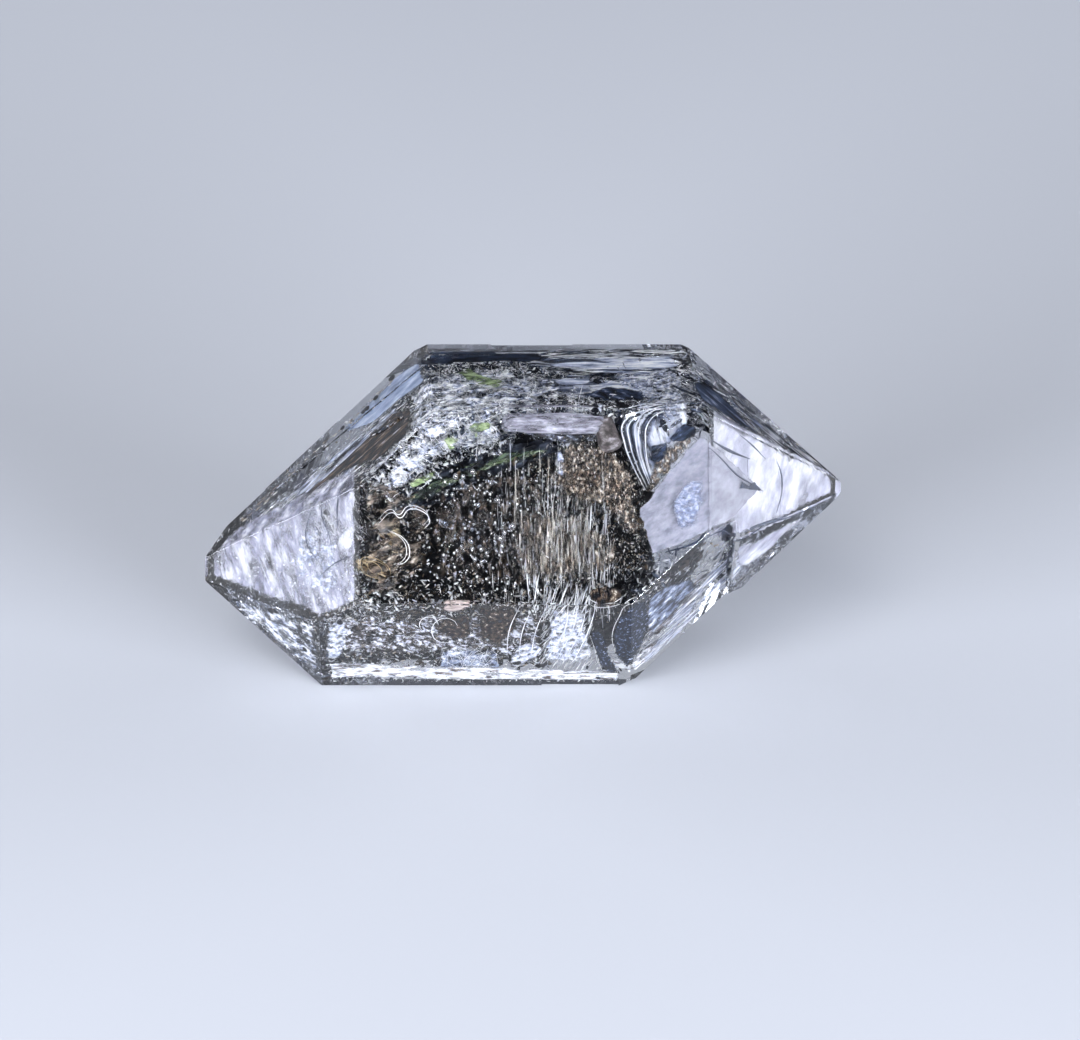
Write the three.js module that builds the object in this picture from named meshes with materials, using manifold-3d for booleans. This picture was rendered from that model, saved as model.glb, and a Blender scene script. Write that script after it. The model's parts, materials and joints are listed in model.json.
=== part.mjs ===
// Herkimer diamond: one doubly terminated quartz crystal, lying on one of its prism faces.
//
// Millimetres. +X runs along the crystal's c axis, +Z is up, and -Y is the side with the broad front
// face. The origin is under the middle of the crystal, on the surface that it rests on.
//
// Quartz grows as a six-sided prism closed at each end by six rhombohedral faces, one above each
// prism face. A face is named by its azimuth about the c axis: 0 is straight up, 60 is the broad
// front face, 120 the lower front, 180 the resting face, 240 the back and 300 the upper back.

import * as THREE from 'three';
import * as BufferGeometryUtils from 'three/addons/utils/BufferGeometryUtils.js';
import Module from 'manifold-3d';

const wasm = await Module();
wasm.setup();

// ---------------------------------------------------------------- driving dimensions

const BLANK = 40; // side of the block that the crystal is cut from, and of each cutting block

// Distance of each prism face from the c axis. The crystal grew a little flat from front to back.
const PRISM = { 0: 5.78, 60: 4.92, 120: 5.44, 180: 5.78, 240: 4.92, 300: 5.27 };

// The rhombohedral faces of each end. crown is where the face meets the prism face under it, from
// the middle of the crystal along the c axis. lean is the angle between the c axis and the face's
// normal, where the face grew slightly off the ideal one, and twist is its turn about the c axis.
const IDEAL_LEAN = 51.8; // degrees
const LEFT = {
  0: { crown: 3.36, lean: 51.3, twist: 4 },
  60: { crown: 6.08 },
  120: { crown: 7.61, lean: 54.5 },
  180: { crown: 7.61, lean: 49.8 },
  240: { crown: 5.38 },
  300: { crown: 4.21 },
};
const RIGHT = {
  0: { crown: 6.47, lean: 52.3, twist: -4 },
  60: { crown: 6.93 },
  120: { crown: 4.83, lean: 51.4 },
  180: { crown: 3.89, lean: 50.0 },
  240: { crown: 4.53 },
  300: { crown: 5.93 },
};

// Small steep face that cuts off the lower front corner at the right end.
const CORNER_AZIMUTH = 150;
const CORNER_LEAN = 65.6; // degrees
const CORNER_DISTANCE = 7.4; // from the middle of the c axis

// Growth terrace on the lower front face of the right end. Left of its riser and below its blunt
// foot the outer layer of the crystal is missing.
const TERRACE_DEPTH = 0.49;
const TERRACE_X = 7.74;
const TERRACE_RAKE = 3.7; // lean of the riser from square to the c axis, degrees
const TERRACE_FOOT = -2.1; // height from the c axis

// Shallow wedge missing from the left end of the top face, in front of a narrow strip that is left
// standing along the back edge.
const WEDGE_X = -0.65; // where the wedge runs out to nothing
const WEDGE_TILT = 4.7; // degrees
const STRIP_WIDTH = 0.83;

// Growth steps. Each sinks part of a face by its depth. The outline is drawn on the face: on a prism
// face as [along the c axis, up the front of the crystal], and on an end's face as [from the crown
// towards the tip, across], from the point over the c axis. Outlines may run off the face.
const OFF = 9;
const STEPS = [
  // bands square to the c axis on the broad front face
  { face: 60, depth: 0.03, outline: [[-2.05, -OFF], [-0.67, -OFF], [-0.61, OFF], [-2.0, OFF]] },
  { face: 60, depth: 0.06, outline: [[-0.7, -OFF], [1.01, -OFF], [0.95, OFF], [-0.64, OFF]] },
  { face: 60, depth: 0.09, outline: [[0.98, -OFF], [2.08, -OFF], [2.13, OFF], [0.92, OFF]] },
  { face: 60, depth: 0.05, outline: [[2.05, -OFF], [3.05, -OFF], [2.95, OFF], [2.1, OFF]] },
  // ledge along the bottom edge of the lower front face, at its right end
  { face: 120, depth: 0.08, outline: [[0.65, -OFF], [3.6, -OFF], [3.6, -2.6], [0.7, -2.68]] },
  // upper left face: all of it lies deeper than a band along its upper edge, and a short slit
  {
    end: LEFT, face: 0, depth: 0.05,
    outline: [[-1.5, -1.9], [8, 0.26], [8.6, -1.5], [OFF + 3, -1.5], [OFF + 3, OFF], [-1.5, OFF]],
  },
  { end: LEFT, face: 0, depth: 0.12, outline: [[1.5, 1.05], [3, 0.95], [2.8, 1.3], [1.4, 1.4]] },
  // upper right face: a long channel beside its front edge
  {
    end: RIGHT, face: 0, depth: 0.08,
    outline: [[-0.2, -0.55], [0.35, 0.5], [1.6, 0.4], [2.75, -0.3], [3.4, -0.7], [3, -1.15],
      [1.45, -1.7], [0.15, -1.7]],
  },
  // front right face: the tip lies a little deeper, behind a curved step
  {
    end: RIGHT, face: 60, depth: 0.03,
    outline: [[3.1, OFF], [3.28, 1.8], [3.5, 0.9], [3.42, -0.1], [3.2, -OFF], [OFF, -OFF], [OFF, OFF]],
  },
  // the sides turned away
  { face: 240, depth: 0.06, outline: [[-2.9, -OFF], [-0.37, -OFF], [-0.42, OFF], [-3, OFF]] },
  { face: 240, depth: 0.1, outline: [[-0.4, -OFF], [1.9, -OFF], [1.85, OFF], [-0.45, OFF]] },
  { face: 300, depth: 0.08, outline: [[-1.6, -OFF], [2.7, -OFF], [1.4, -0.6], [-0.9, 0.8]] },
  { end: RIGHT, face: 240, depth: 0.06, outline: [[0.6, 0.9], [4.1, 0.2], [2.2, -1.1]] },
  { end: LEFT, face: 300, depth: 0.06, outline: [[-OFF, 0.4], [3.6, 1.1], [2.6, OFF], [-OFF, OFF]] },
];

// ---------------------------------------------------------------- solids

// A closed three.js geometry as a solid that can be cut and joined.
function solidFrom(geometry) {
  const bare = geometry.clone();
  bare.deleteAttribute('normal');
  bare.deleteAttribute('uv');
  const merged = BufferGeometryUtils.mergeVertices(bare);
  return new wasm.Manifold(new wasm.Mesh({
    numProp: 3,
    vertProperties: new Float32Array(merged.attributes.position.array),
    triVerts: new Uint32Array(merged.index.array),
  }));
}

// A solid back as a three.js geometry.
function geometryFrom(solid) {
  const mesh = solid.getMesh();
  const geometry = new THREE.BufferGeometry();
  geometry.setAttribute('position', new THREE.BufferAttribute(mesh.vertProperties, 3));
  geometry.setIndex(new THREE.BufferAttribute(mesh.triVerts, 1));
  return geometry;
}

// Unit vector square to the c axis at an azimuth.
function outward(azimuth) {
  const angle = THREE.MathUtils.degToRad(azimuth);
  return new THREE.Vector3(0, -Math.sin(angle), Math.cos(angle));
}

// Unit vector at an azimuth that leans from the c axis, towards the left end or the right one.
function leaning(side, azimuth, lean) {
  const angle = THREE.MathUtils.degToRad(lean);
  return outward(azimuth).multiplyScalar(Math.sin(angle))
    .add(new THREE.Vector3(side * Math.cos(angle), 0, 0));
}

// The block of everything beyond the plane through a point.
function beyond(normal, point) {
  const block = new THREE.BoxGeometry(BLANK, BLANK, BLANK);
  block.translate(0, 0, BLANK / 2);
  block.applyQuaternion(new THREE.Quaternion().setFromUnitVectors(new THREE.Vector3(0, 0, 1), normal));
  block.translate(point.x, point.y, point.z);
  return solidFrom(block);
}

// ---------------------------------------------------------------- the crystal

let crystal = solidFrom(new THREE.BoxGeometry(BLANK, BLANK, BLANK));
const take = (solid) => { crystal = crystal.subtract(solid); };

// The six prism faces.
for (const [azimuth, distance] of Object.entries(PRISM)) {
  take(beyond(outward(azimuth), outward(azimuth).multiplyScalar(distance)));
}

// A rhombohedral face's normal, and the point where it meets its prism face over the c axis.
function rhombohedral(side, azimuth, { crown, lean = IDEAL_LEAN, twist = 0 }) {
  const normal = leaning(side, azimuth + twist, lean);
  const point = outward(azimuth).multiplyScalar(PRISM[azimuth]);
  point.x = side * crown;
  return { normal, point };
}

// The six faces that close each end.
for (const [side, faces] of [[-1, LEFT], [1, RIGHT]]) {
  for (const azimuth of Object.keys(faces).map(Number)) {
    const { normal, point } = rhombohedral(side, azimuth, faces[azimuth]);
    take(beyond(normal, point));
  }
}

// The steep corner face at the right end.
const corner = leaning(1, CORNER_AZIMUTH, CORNER_LEAN);
take(beyond(corner, corner.clone().multiplyScalar(CORNER_DISTANCE)));

// The growth terrace: the outer layer of the face goes wherever it isn't part of the raised part,
// which lies right of the riser and above the foot.
const raised = rhombohedral(1, 120, RIGHT[120]);
const deeper = raised.point.clone().addScaledVector(raised.normal, -TERRACE_DEPTH);
const riser = leaning(1, 210, TERRACE_RAKE);
const foot = new THREE.Vector3(0, 0, TERRACE_FOOT);
const layer = beyond(raised.normal, deeper);
const kept = beyond(riser, new THREE.Vector3(TERRACE_X, raised.point.y, raised.point.z))
  .intersect(beyond(outward(0), foot));
take(layer.subtract(kept));

// The wedge in the top face, in front of its strip.
const wedgeNormal = new THREE.Vector3(0, 0, 1).applyAxisAngle(
  new THREE.Vector3(0, 1, 0), -THREE.MathUtils.degToRad(WEDGE_TILT));
const backEdge = (PRISM[300] - PRISM[0] * outward(300).z) / outward(300).y;
const front = beyond(new THREE.Vector3(0, -1, 0), new THREE.Vector3(0, backEdge - STRIP_WIDTH, 0));
take(beyond(wedgeNormal, new THREE.Vector3(WEDGE_X, 0, PRISM[0])).intersect(front));

// A growth step: a prism of its outline, standing on the face and sunk into it.
function slab({ end, face, depth, outline }) {
  const side = end === LEFT ? -1 : 1;
  const { normal, point } = end ? rhombohedral(side, face, end[face])
    : { normal: outward(face), point: outward(face).multiplyScalar(PRISM[face]) };
  const cAxis = new THREE.Vector3(side, 0, 0);
  const ahead = cAxis.addScaledVector(normal, -normal.x * side).normalize();
  const shape = new THREE.Shape(outline.map(([along, sideways]) => new THREE.Vector2(along, sideways)));
  const block = new THREE.ExtrudeGeometry(shape, { depth: BLANK, bevelEnabled: false });
  block.applyMatrix4(new THREE.Matrix4().makeBasis(
    ahead, new THREE.Vector3().crossVectors(normal, ahead), normal));
  const base = point.addScaledVector(normal, -depth);
  block.translate(base.x, base.y, base.z);
  return solidFrom(block);
}

for (const step of STEPS) take(slab(step));

// The crystal is set down with its origin under its middle.
const geometry = geometryFrom(crystal);
geometry.computeBoundingBox();
const middle = geometry.boundingBox.getCenter(new THREE.Vector3());
geometry.translate(-middle.x, -middle.y, -geometry.boundingBox.min.z);

const quartz = new THREE.MeshStandardMaterial({ color: 0xe9ebf4, roughness: 0.03, metalness: 0 });
const quartzCrystal = new THREE.Mesh(geometry, quartz);
quartzCrystal.name = 'quartz_crystal';

const group = new THREE.Group();
group.add(quartzCrystal);
export default group;
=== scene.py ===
import json
import math

import bmesh
import bpy
import numpy as np
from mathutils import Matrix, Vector, noise
from mathutils.bvhtree import BVHTree

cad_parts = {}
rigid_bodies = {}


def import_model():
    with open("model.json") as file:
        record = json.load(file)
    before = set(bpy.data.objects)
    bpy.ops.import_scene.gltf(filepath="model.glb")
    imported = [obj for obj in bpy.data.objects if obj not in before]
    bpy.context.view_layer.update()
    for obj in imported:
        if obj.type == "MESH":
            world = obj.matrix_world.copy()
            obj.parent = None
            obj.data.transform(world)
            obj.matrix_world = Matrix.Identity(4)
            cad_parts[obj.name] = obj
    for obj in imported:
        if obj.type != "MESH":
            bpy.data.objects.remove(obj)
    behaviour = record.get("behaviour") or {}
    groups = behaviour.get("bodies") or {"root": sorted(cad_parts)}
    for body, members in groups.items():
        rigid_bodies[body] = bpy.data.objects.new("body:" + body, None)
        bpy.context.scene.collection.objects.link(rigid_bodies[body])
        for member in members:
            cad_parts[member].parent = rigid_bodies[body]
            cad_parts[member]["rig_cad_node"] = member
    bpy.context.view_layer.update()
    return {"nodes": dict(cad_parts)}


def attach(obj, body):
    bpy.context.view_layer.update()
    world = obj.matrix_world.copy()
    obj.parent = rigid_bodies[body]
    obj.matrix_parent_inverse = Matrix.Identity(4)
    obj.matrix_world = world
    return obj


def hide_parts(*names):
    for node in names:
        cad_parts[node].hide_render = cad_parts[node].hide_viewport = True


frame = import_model()

MM = 0.001

# ---------------------------------------------------------------- tabletop, lights and camera
# The crystal lies on a plain pale tabletop. Low soft boxes stand round it, as on a jeweller's bench:
# two on the viewer's side, a dim panel off each end, and two boxes and a dim strip behind. A small
# white key hangs above.

TABLE_SIZE = 900 * MM
TABLE_GAP = 0.02 * MM  # air under the resting face, which is never quite flat
TABLE_COLOUR = (0.37, 0.38, 0.41, 1)
COOL_LIGHT = (0.88, 0.92, 1.0)
ROOM_COLOUR = (0.05, 0.055, 0.07, 1)
LOOKED_AT = Vector((0.65, -0.1, 5.59)) * MM
CAMERA_ELEVATION = math.radians(29)
LENS = 300
SENSOR = 36
FIELD = 40.75 * MM  # width of the picture at the crystal


def with_values(node, values):
    """Sets plain values on a node's inputs. A space in an input's name is written as _ here."""
    for socket, value in values.items():
        node.inputs[socket.replace("_", " ")].default_value = value
    return node


def principled(name, **values):
    """A material whose shader has these plain values."""
    material = bpy.data.materials.new(name)
    material.use_nodes = True
    with_values(material.node_tree.nodes["Principled BSDF"], values)
    return material


bpy.ops.object.select_all(action="DESELECT")
bpy.ops.mesh.primitive_plane_add(size=TABLE_SIZE, location=(0, 0, -TABLE_GAP))
tabletop = bpy.context.object
tabletop.name = "tabletop"
pale_top = principled("pale_tabletop", Base_Color=TABLE_COLOUR, Roughness=0.9, Specular_IOR_Level=0.2)
tabletop.data.materials.append(pale_top)


def soft_light(name, azimuth, elevation, distance, width, height, watts, colour=COOL_LIGHT):
    """A soft box that faces the crystal. Azimuth 0 is the viewer's side and 90 the right end's."""
    a, e = math.radians(azimuth), math.radians(elevation)
    back = Vector((math.sin(a) * math.cos(e), -math.cos(a) * math.cos(e), math.sin(e)))
    lamp = bpy.data.lights.new(name, "AREA")
    lamp.shape = "RECTANGLE"
    lamp.size, lamp.size_y = width * MM, height * MM
    lamp.energy, lamp.color = watts, colour
    box = bpy.data.objects.new(name, lamp)
    box.location = LOOKED_AT + back * distance * MM
    box.rotation_euler = (-back).to_track_quat("-Z", "Y").to_euler()
    bpy.context.scene.collection.objects.link(box)


soft_light("front_left_box", -44, 9, 280, 200, 70, 2.9)
soft_light("front_right_box", 44, 9, 280, 200, 70, 2.9)
soft_light("left_panel", -79, 12, 260, 110, 100, 0.07)
soft_light("right_panel", 79, 12, 260, 110, 100, 0.08)
soft_light("back_left_box", -115, 12, 280, 160, 90, 0.6)
soft_light("back_right_box", 115, 12, 280, 160, 90, 0.6)
soft_light("back_strip", 180, 13, 300, 420, 100, 0.05)
soft_light("key", -25, 50, 300, 110, 110, 0.35, (1, 1, 1))

world = bpy.data.worlds.new("dim_room")
world.use_nodes = True
world.node_tree.nodes["Background"].inputs["Color"].default_value = ROOM_COLOUR
bpy.context.scene.world = world

camera = bpy.data.objects.new("camera", bpy.data.cameras.new("camera"))
camera.data.lens = LENS
camera.data.sensor_width = SENSOR
towards_camera = Vector((0, -math.cos(CAMERA_ELEVATION), math.sin(CAMERA_ELEVATION)))
camera.location = LOOKED_AT + towards_camera * (FIELD * LENS / SENSOR)
camera.rotation_euler = (-towards_camera).to_track_quat("-Z", "Y").to_euler()
bpy.context.scene.collection.objects.link(camera)
bpy.context.scene.camera = camera
bpy.context.scene.view_settings.view_transform = "Standard"
bpy.context.scene.cycles.max_bounces = 14
bpy.context.scene.cycles.transmission_bounces = 14
bpy.context.scene.cycles.transparent_max_bounces = 24

# ---------------------------------------------------------------- the crystal
# One clear quartz crystal, faintly lavender. It is the CAD body with its edges bevelled, as if worn
# round by a few hundredths of a millimetre, and with a bump of faint growth lines, square to the c
# axis, on its six prism faces.

IOR = 1.544
SAME_PLACE = 1e-7  # points nearer to each other than this, in metres, are one
EDGE_ROUND = 0.05 * MM
FLAT = math.radians(0.2)  # faces closer in direction than this are one face
EDGE_ANGLES = (math.radians(12), math.radians(82))  # between a near-flat join and a step's riser
SHORT_EDGE = 0.9 * MM
LINE_SPACING = 0.35 * MM
LINE_LENGTH = 4 * MM
LINE_HEIGHT = 0.01 * MM
LAVENDER = (0.8, 0.84, 0.95, 1)
DENSITY = 40  # of the lavender, per metre
PRISM_SLOPE = 0.1  # a prism face's normal has less than this along the c axis


def pick(piece):
    """Makes one piece the selected and active one."""
    bpy.ops.object.select_all(action="DESELECT")
    piece.select_set(True)
    bpy.context.view_layer.objects.active = piece


def keep(mesh, name, values, domain="POINT"):
    """Keeps a value for each point or face of a mesh."""
    mesh.attributes.new(name, "FLOAT", domain).data.foreach_set("value", values)


def shader_node(tree, kind, **values):
    """A new node of a shader, with these plain values."""
    return with_values(tree.nodes.new("ShaderNode" + kind), values)


def wire(node, output, target, socket):
    """Joins a node's output to an input of another."""
    node.id_data.links.new(node.outputs[output], target.inputs[socket])


node = frame["nodes"]["quartz_crystal"]
skin = BVHTree.FromObject(node, bpy.context.evaluated_depsgraph_get())
crystal = node.copy()
crystal.data = node.data.copy()
crystal.name = "crystal"
bpy.context.scene.collection.objects.link(crystal)
del crystal["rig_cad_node"]
pick(crystal)
bpy.ops.object.mode_set(mode="EDIT")
bpy.ops.mesh.select_all(action="SELECT")
bpy.ops.mesh.remove_doubles(threshold=SAME_PLACE)
bpy.ops.mesh.dissolve_limited(angle_limit=FLAT, delimit=set())
bpy.ops.mesh.select_all(action="DESELECT")
shape = bmesh.from_edit_mesh(crystal.data)
for edge in shape.edges:
    if edge.is_convex and edge.calc_length() > SHORT_EDGE:
        edge.select_set(EDGE_ANGLES[0] < edge.calc_face_angle() < EDGE_ANGLES[1])
bmesh.update_edit_mesh(crystal.data)
bpy.ops.mesh.bevel(offset=EDGE_ROUND, segments=2, clamp_overlap=True, affect="EDGES")
bpy.ops.mesh.select_all(action="SELECT")
bpy.ops.mesh.quads_convert_to_tris()
bpy.ops.object.mode_set(mode="OBJECT")
on_side = [float(abs(face.normal.x) < PRISM_SLOPE) for face in crystal.data.polygons]
keep(crystal.data, "prism", on_side, "FACE")

quartz = principled("clear_quartz", Base_Color=(1, 1, 1, 1), Roughness=0.012, Transmission_Weight=1,
                    IOR=IOR)
tree = quartz.node_tree
absorption = shader_node(tree, "VolumeAbsorption", Color=LAVENDER, Density=DENSITY)
where = shader_node(tree, "TexCoord")
stretch = shader_node(tree, "Mapping", Scale=(1 / LINE_SPACING, 1 / LINE_LENGTH, 1 / LINE_LENGTH))
growth_lines = shader_node(tree, "TexNoise", Scale=1, Detail=3)
on_prism = shader_node(tree, "Attribute")
on_prism.attribute_name = "prism"
height = shader_node(tree, "Math")
height.operation = "MULTIPLY"
bump = shader_node(tree, "Bump", Strength=0.3, Distance=LINE_HEIGHT)
wire(absorption, "Volume", tree.nodes["Material Output"], "Volume")
wire(where, "Object", stretch, "Vector")
wire(stretch, "Vector", growth_lines, "Vector")
wire(growth_lines, "Fac", height, 0)
wire(on_prism, "Fac", height, 1)
wire(height, 0, bump, "Height")
wire(bump, "Normal", tree.nodes["Principled BSDF"], "Normal")
crystal.data.materials.clear()
crystal.data.materials.append(quartz)
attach(crystal, "root")
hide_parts("quartz_crystal")

# ---------------------------------------------------------------- crackle of healed cracks
# Under the top edge the quartz is full of small cracks that healed while it grew. Each is a thin bent
# flake, milky, silvery or dark. They lie thickest in clumps, with bright threads between. Deep behind
# them lies a backing of large dark flakes, which is painted shade. All flakes of one kind are one mesh,
# made from arrays.

C_AXIS_HEIGHT = 5.78 * MM
ALONG = Vector((1, 0, 0))
OUT_OF_FRONT = Vector((0, -math.sin(math.radians(60)), math.cos(math.radians(60))))
UP_FRONT = Vector((0, math.cos(math.radians(60)), math.sin(math.radians(60))))
OUTSIDE = 0.03  # where a line of sight starts, in metres before the c axis
LEAST_COVER = 0.03 * MM  # quartz that is always left over a flake or a film
TRIES = 40  # places tried for each one that is wanted
CLUMP_RIM = (-0.3, 0.25)  # noise values between which a clump thins out
SHORTER = 1.7  # the higher, the more of the flakes are short
RIM_REACH = (0.6, 1.0)  # share of its full size that each point of a flake's rim reaches
TAPER = 0.75  # share of its width that a thread loses towards its ends
UNSTEADY = 0.45  # radians by which a wandering thread turns at each point


def inside(along, up, deep):
    """A place in the crystal: millimetres along the c axis and up from it to where a line of sight
    square to the broad front face meets the skin, then deep along the line quartz bends it to."""
    sight = -OUT_OF_FRONT
    start = Vector((0, 0, C_AXIS_HEIGHT)) + (ALONG * along + UP_FRONT * up) * MM - sight * OUTSIDE
    place, normal, _, _ = skin.ray_cast(start, sight)
    if place is None:
        return None
    slant = -sight.dot(normal)
    bent = sight / IOR + normal * (slant / IOR - math.sqrt(1 - (1 - slant ** 2) / IOR ** 2))
    return place + bent.normalized() * deep * MM


def below_skin(point):
    """How far a place lies under the crystal's nearest face. Less than nothing is outside."""
    place, normal, _, distance = skin.find_nearest(point)
    return math.copysign(distance, (place - Vector(point)).dot(normal))


def within(outline, along, up):
    """Whether a place lies in an outline."""
    odd = False
    for (x0, y0), (x1, y1) in zip(outline, outline[1:] + outline[:1]):
        if (y0 > up) != (y1 > up) and along < (x1 - x0) * (up - y0) / (y1 - y0) + x0:
            odd = not odd
    return odd


def scatter(seed, count, outline, deep, clear=0.2, clump=0):
    """Places behind an outline, between two depths and clear of the skin, in clumps of a size."""
    random = np.random.default_rng(seed)
    low, high = np.min(outline, axis=0), np.max(outline, axis=0)
    places = []
    for _ in range(count * TRIES):
        along, up = random.uniform(low, high)
        depth, luck = random.uniform(*deep), random.uniform(*CLUMP_RIM)
        if not within(outline, along, up):
            continue
        place = inside(along, up, depth)
        if place is None or below_skin(place) < clear * MM:
            continue
        if clump and noise.noise(place / (clump * MM)) < luck:
            continue
        places.append(place)
        if len(places) == count:
            break
    return np.array(places)


def unit(vectors):
    """The same vectors, each at length 1."""
    return vectors / np.linalg.norm(vectors, axis=-1, keepdims=True)


def settle(piece, material):
    """Gives a piece its material and lets it ride with the crystal."""
    piece.data.materials.clear()
    piece.data.materials.append(material)
    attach(piece, "root")


def joined(name, verts, faces, tone, material):
    """Many small closed shapes as one smooth piece. tone is each point's own shade, 0 to 1."""
    mesh = bpy.data.meshes.new(name)
    mesh.from_pydata(verts.reshape(-1, 3).tolist(), [], faces.reshape(-1, 3).tolist())
    keep(mesh, "tone", tone.astype(np.float32))
    mesh.polygons.foreach_set("use_smooth", [True] * len(mesh.polygons))
    piece = bpy.data.objects.new(name, mesh)
    bpy.context.scene.collection.objects.link(piece)
    settle(piece, material)


def flakes(name, seed, count, outline, deep, length, material, clump=0, clear=0.2, broad=0.5, thick=0.06,
           grain=None, stray=0.2, facing=None, wander=1.0, bend=0.25, sides=6):
    """Thin bent flakes, scattered behind an outline. length is the range of their lengths in
    millimetres, short ones being the commonest; broad and thick are shares of it. They lie along
    grain and turn one way, if given."""
    places = scatter(seed - 1, count, outline, deep, clear, clump)
    random = np.random.default_rng(seed)
    n = len(places)
    long = random.normal(size=(n, 3)) * (1 if grain is None else stray)
    long = unit(long + (0 if grain is None else np.array(grain)))
    normal = random.normal(size=(n, 3)) * wander + (0 if facing is None else np.array(facing))
    normal = unit(normal - (normal * long).sum(1, keepdims=True) * long)
    across = np.cross(normal, long)
    half = length[0] * (length[1] / length[0]) ** (random.uniform(0, 1, n) ** SHORTER) * MM / 2
    turn = np.linspace(0, 2 * np.pi, sides, endpoint=False)
    u = np.cos(turn) * random.uniform(*RIM_REACH, (n, sides))
    v = np.sin(turn) * random.uniform(*RIM_REACH, (n, sides)) * broad
    w = bend * (u ** 2 - 0.5) * random.uniform(-1, 1, (n, 1))
    rim = long[:, None] * u[..., None] + across[:, None] * v[..., None] + normal[:, None] * w[..., None]
    middle = rim.mean(1)
    caps = np.stack([middle + normal * thick, middle - normal * thick], 1)
    verts = np.concatenate([rim, caps], 1) * half[:, None, None] + places[:, None]
    buried = [all(below_skin(point) > LEAST_COVER for point in flake) for flake in verts]
    verts, tone = verts[buried], random.uniform(0, 1, n)[buried]
    k = np.arange(sides)
    top = np.stack([np.full(sides, sides), k, (k + 1) % sides], 1)
    bottom = np.stack([np.full(sides, sides + 1), (k + 1) % sides, k], 1)
    faces = np.concatenate([top, bottom])[None] + (np.arange(len(verts)) * (sides + 2))[:, None, None]
    joined(name, verts, faces, np.repeat(tone, sides + 2), material)


def threads(name, seed, routes, width, material, deep, wave=0.2, tone=0.8):
    """Thin threads through the places of their routes, in a range of widths, tapered at the ends."""
    random = np.random.default_rng(seed)
    curve = bpy.data.curves.new(name, "CURVE")
    curve.dimensions = "3D"
    curve.bevel_depth = MM / 2
    curve.bevel_resolution = 1
    curve.resolution_u = 5
    curve.use_fill_caps = True
    for route in routes:
        places = [inside(along, up, deep + wave * random.uniform(-1, 1)) for along, up in route]
        spline = curve.splines.new("BEZIER")
        spline.bezier_points.add(len(places) - 1)
        taper = 1 - TAPER * np.abs(np.linspace(-1, 1, len(places))) ** 2
        sizes = random.uniform(*width) * taper
        for point, place, size in zip(spline.bezier_points, places, sizes):
            point.co, point.radius = place, size
            point.handle_left_type = point.handle_right_type = "AUTO"
    piece = bpy.data.objects.new(name, curve)
    bpy.context.scene.collection.objects.link(piece)
    pick(piece)
    bpy.ops.object.convert(target="MESH")
    piece = bpy.context.object
    keep(piece.data, "tone", np.full(len(piece.data.vertices), tone, np.float32))
    settle(piece, material)


def strays(seed, count, outline, reach, points):
    """Routes of short wandering threads that stay in an outline."""
    random = np.random.default_rng(seed)
    low, high = np.min(outline, axis=0), np.max(outline, axis=0)
    routes = []
    while len(routes) < count:
        place = random.uniform(low, high)
        heading = math.radians(random.uniform(0, 360))
        step = random.uniform(*reach) / (points - 1)
        route = [tuple(place)]
        for _ in range(points - 1):
            heading += random.normal() * UNSTEADY
            place = place + step * np.array((math.cos(heading), math.sin(heading)))
            route.append(tuple(place))
        if all(within(outline, *place) for place in route):
            routes.append(route)
    return routes


# Shade that runs over each small piece's own tone, lighter and darker in patches.
patchy_tone = bpy.data.node_groups.new("patchy_tone", "ShaderNodeTree")
patchy_tone.interface.new_socket("Patch scale", in_out="INPUT", socket_type="NodeSocketFloat")
patchy_tone.interface.new_socket("Patch strength", in_out="INPUT", socket_type="NodeSocketFloat")
patchy_tone.interface.new_socket("Tone", in_out="OUTPUT", socket_type="NodeSocketFloat")
given, made = patchy_tone.nodes.new("NodeGroupInput"), patchy_tone.nodes.new("NodeGroupOutput")
own, where = shader_node(patchy_tone, "Attribute"), shader_node(patchy_tone, "TexCoord")
own.attribute_name = "tone"
cloud = shader_node(patchy_tone, "TexNoise", Detail=3)
swing, amount = shader_node(patchy_tone, "Math"), shader_node(patchy_tone, "Math")
swing.operation = "SUBTRACT"
swing.inputs[1].default_value = 0.5  # the noise's middle
amount.operation = "MULTIPLY_ADD"
amount.use_clamp = True
wire(where, "Object", cloud, "Vector")
wire(given, "Patch scale", cloud, "Scale")
wire(cloud, "Fac", swing, 0)
wire(swing, 0, amount, 0)
wire(given, "Patch strength", amount, 1)
wire(own, "Fac", amount, 2)
wire(amount, 0, made, "Tone")


def colour_ramp(tree, stops):
    """A ramp through colours, each at its place from 0 to 1."""
    ramp = shader_node(tree, "ValToRGB")
    for _ in stops[2:]:
        ramp.color_ramp.elements.new(0.5)
    for element, (place, colour) in zip(ramp.color_ramp.elements, stops):
        element.position, element.color = place, (*colour, 1)
    wire(ramp, "Color", tree.nodes["Principled BSDF"], "Base Color")
    return ramp


def toned(name, stops, patch=0.0, patch_size=1.0, **values):
    """A material whose colour runs over a ramp by patchy tone, in patches of a size in millimetres."""
    material = principled(name, **values)
    shade = shader_node(material.node_tree, "Group")
    shade.node_tree = patchy_tone
    with_values(shade, {"Patch scale": 1 / (patch_size * MM), "Patch strength": patch})
    wire(shade, "Tone", colour_ramp(material.node_tree, stops), "Fac")
    return material


milky = toned("milky_crack", [(0, (0.5, 0.52, 0.62)), (0.5, (1.0, 1.0, 1.0))], 1.5, 0.8, Roughness=0.45)
silver = toned("silvery_crack", [(0, (0.5, 0.53, 0.62)), (0.5, (1.0, 1.0, 1.0))], 1.5, 0.8,
               Metallic=1, Roughness=0.25)
# The dark crack colour also serves the crackle's backing, where it is painted shade.
shadow = toned("dark_crack_and_painted_shade", [(0, (0.006, 0.008, 0.014)), (0.7, (0.03, 0.038, 0.06)),
                              (1, (0.12, 0.15, 0.22))], 1, 0.8, Metallic=0.4, Roughness=0.25)

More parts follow.
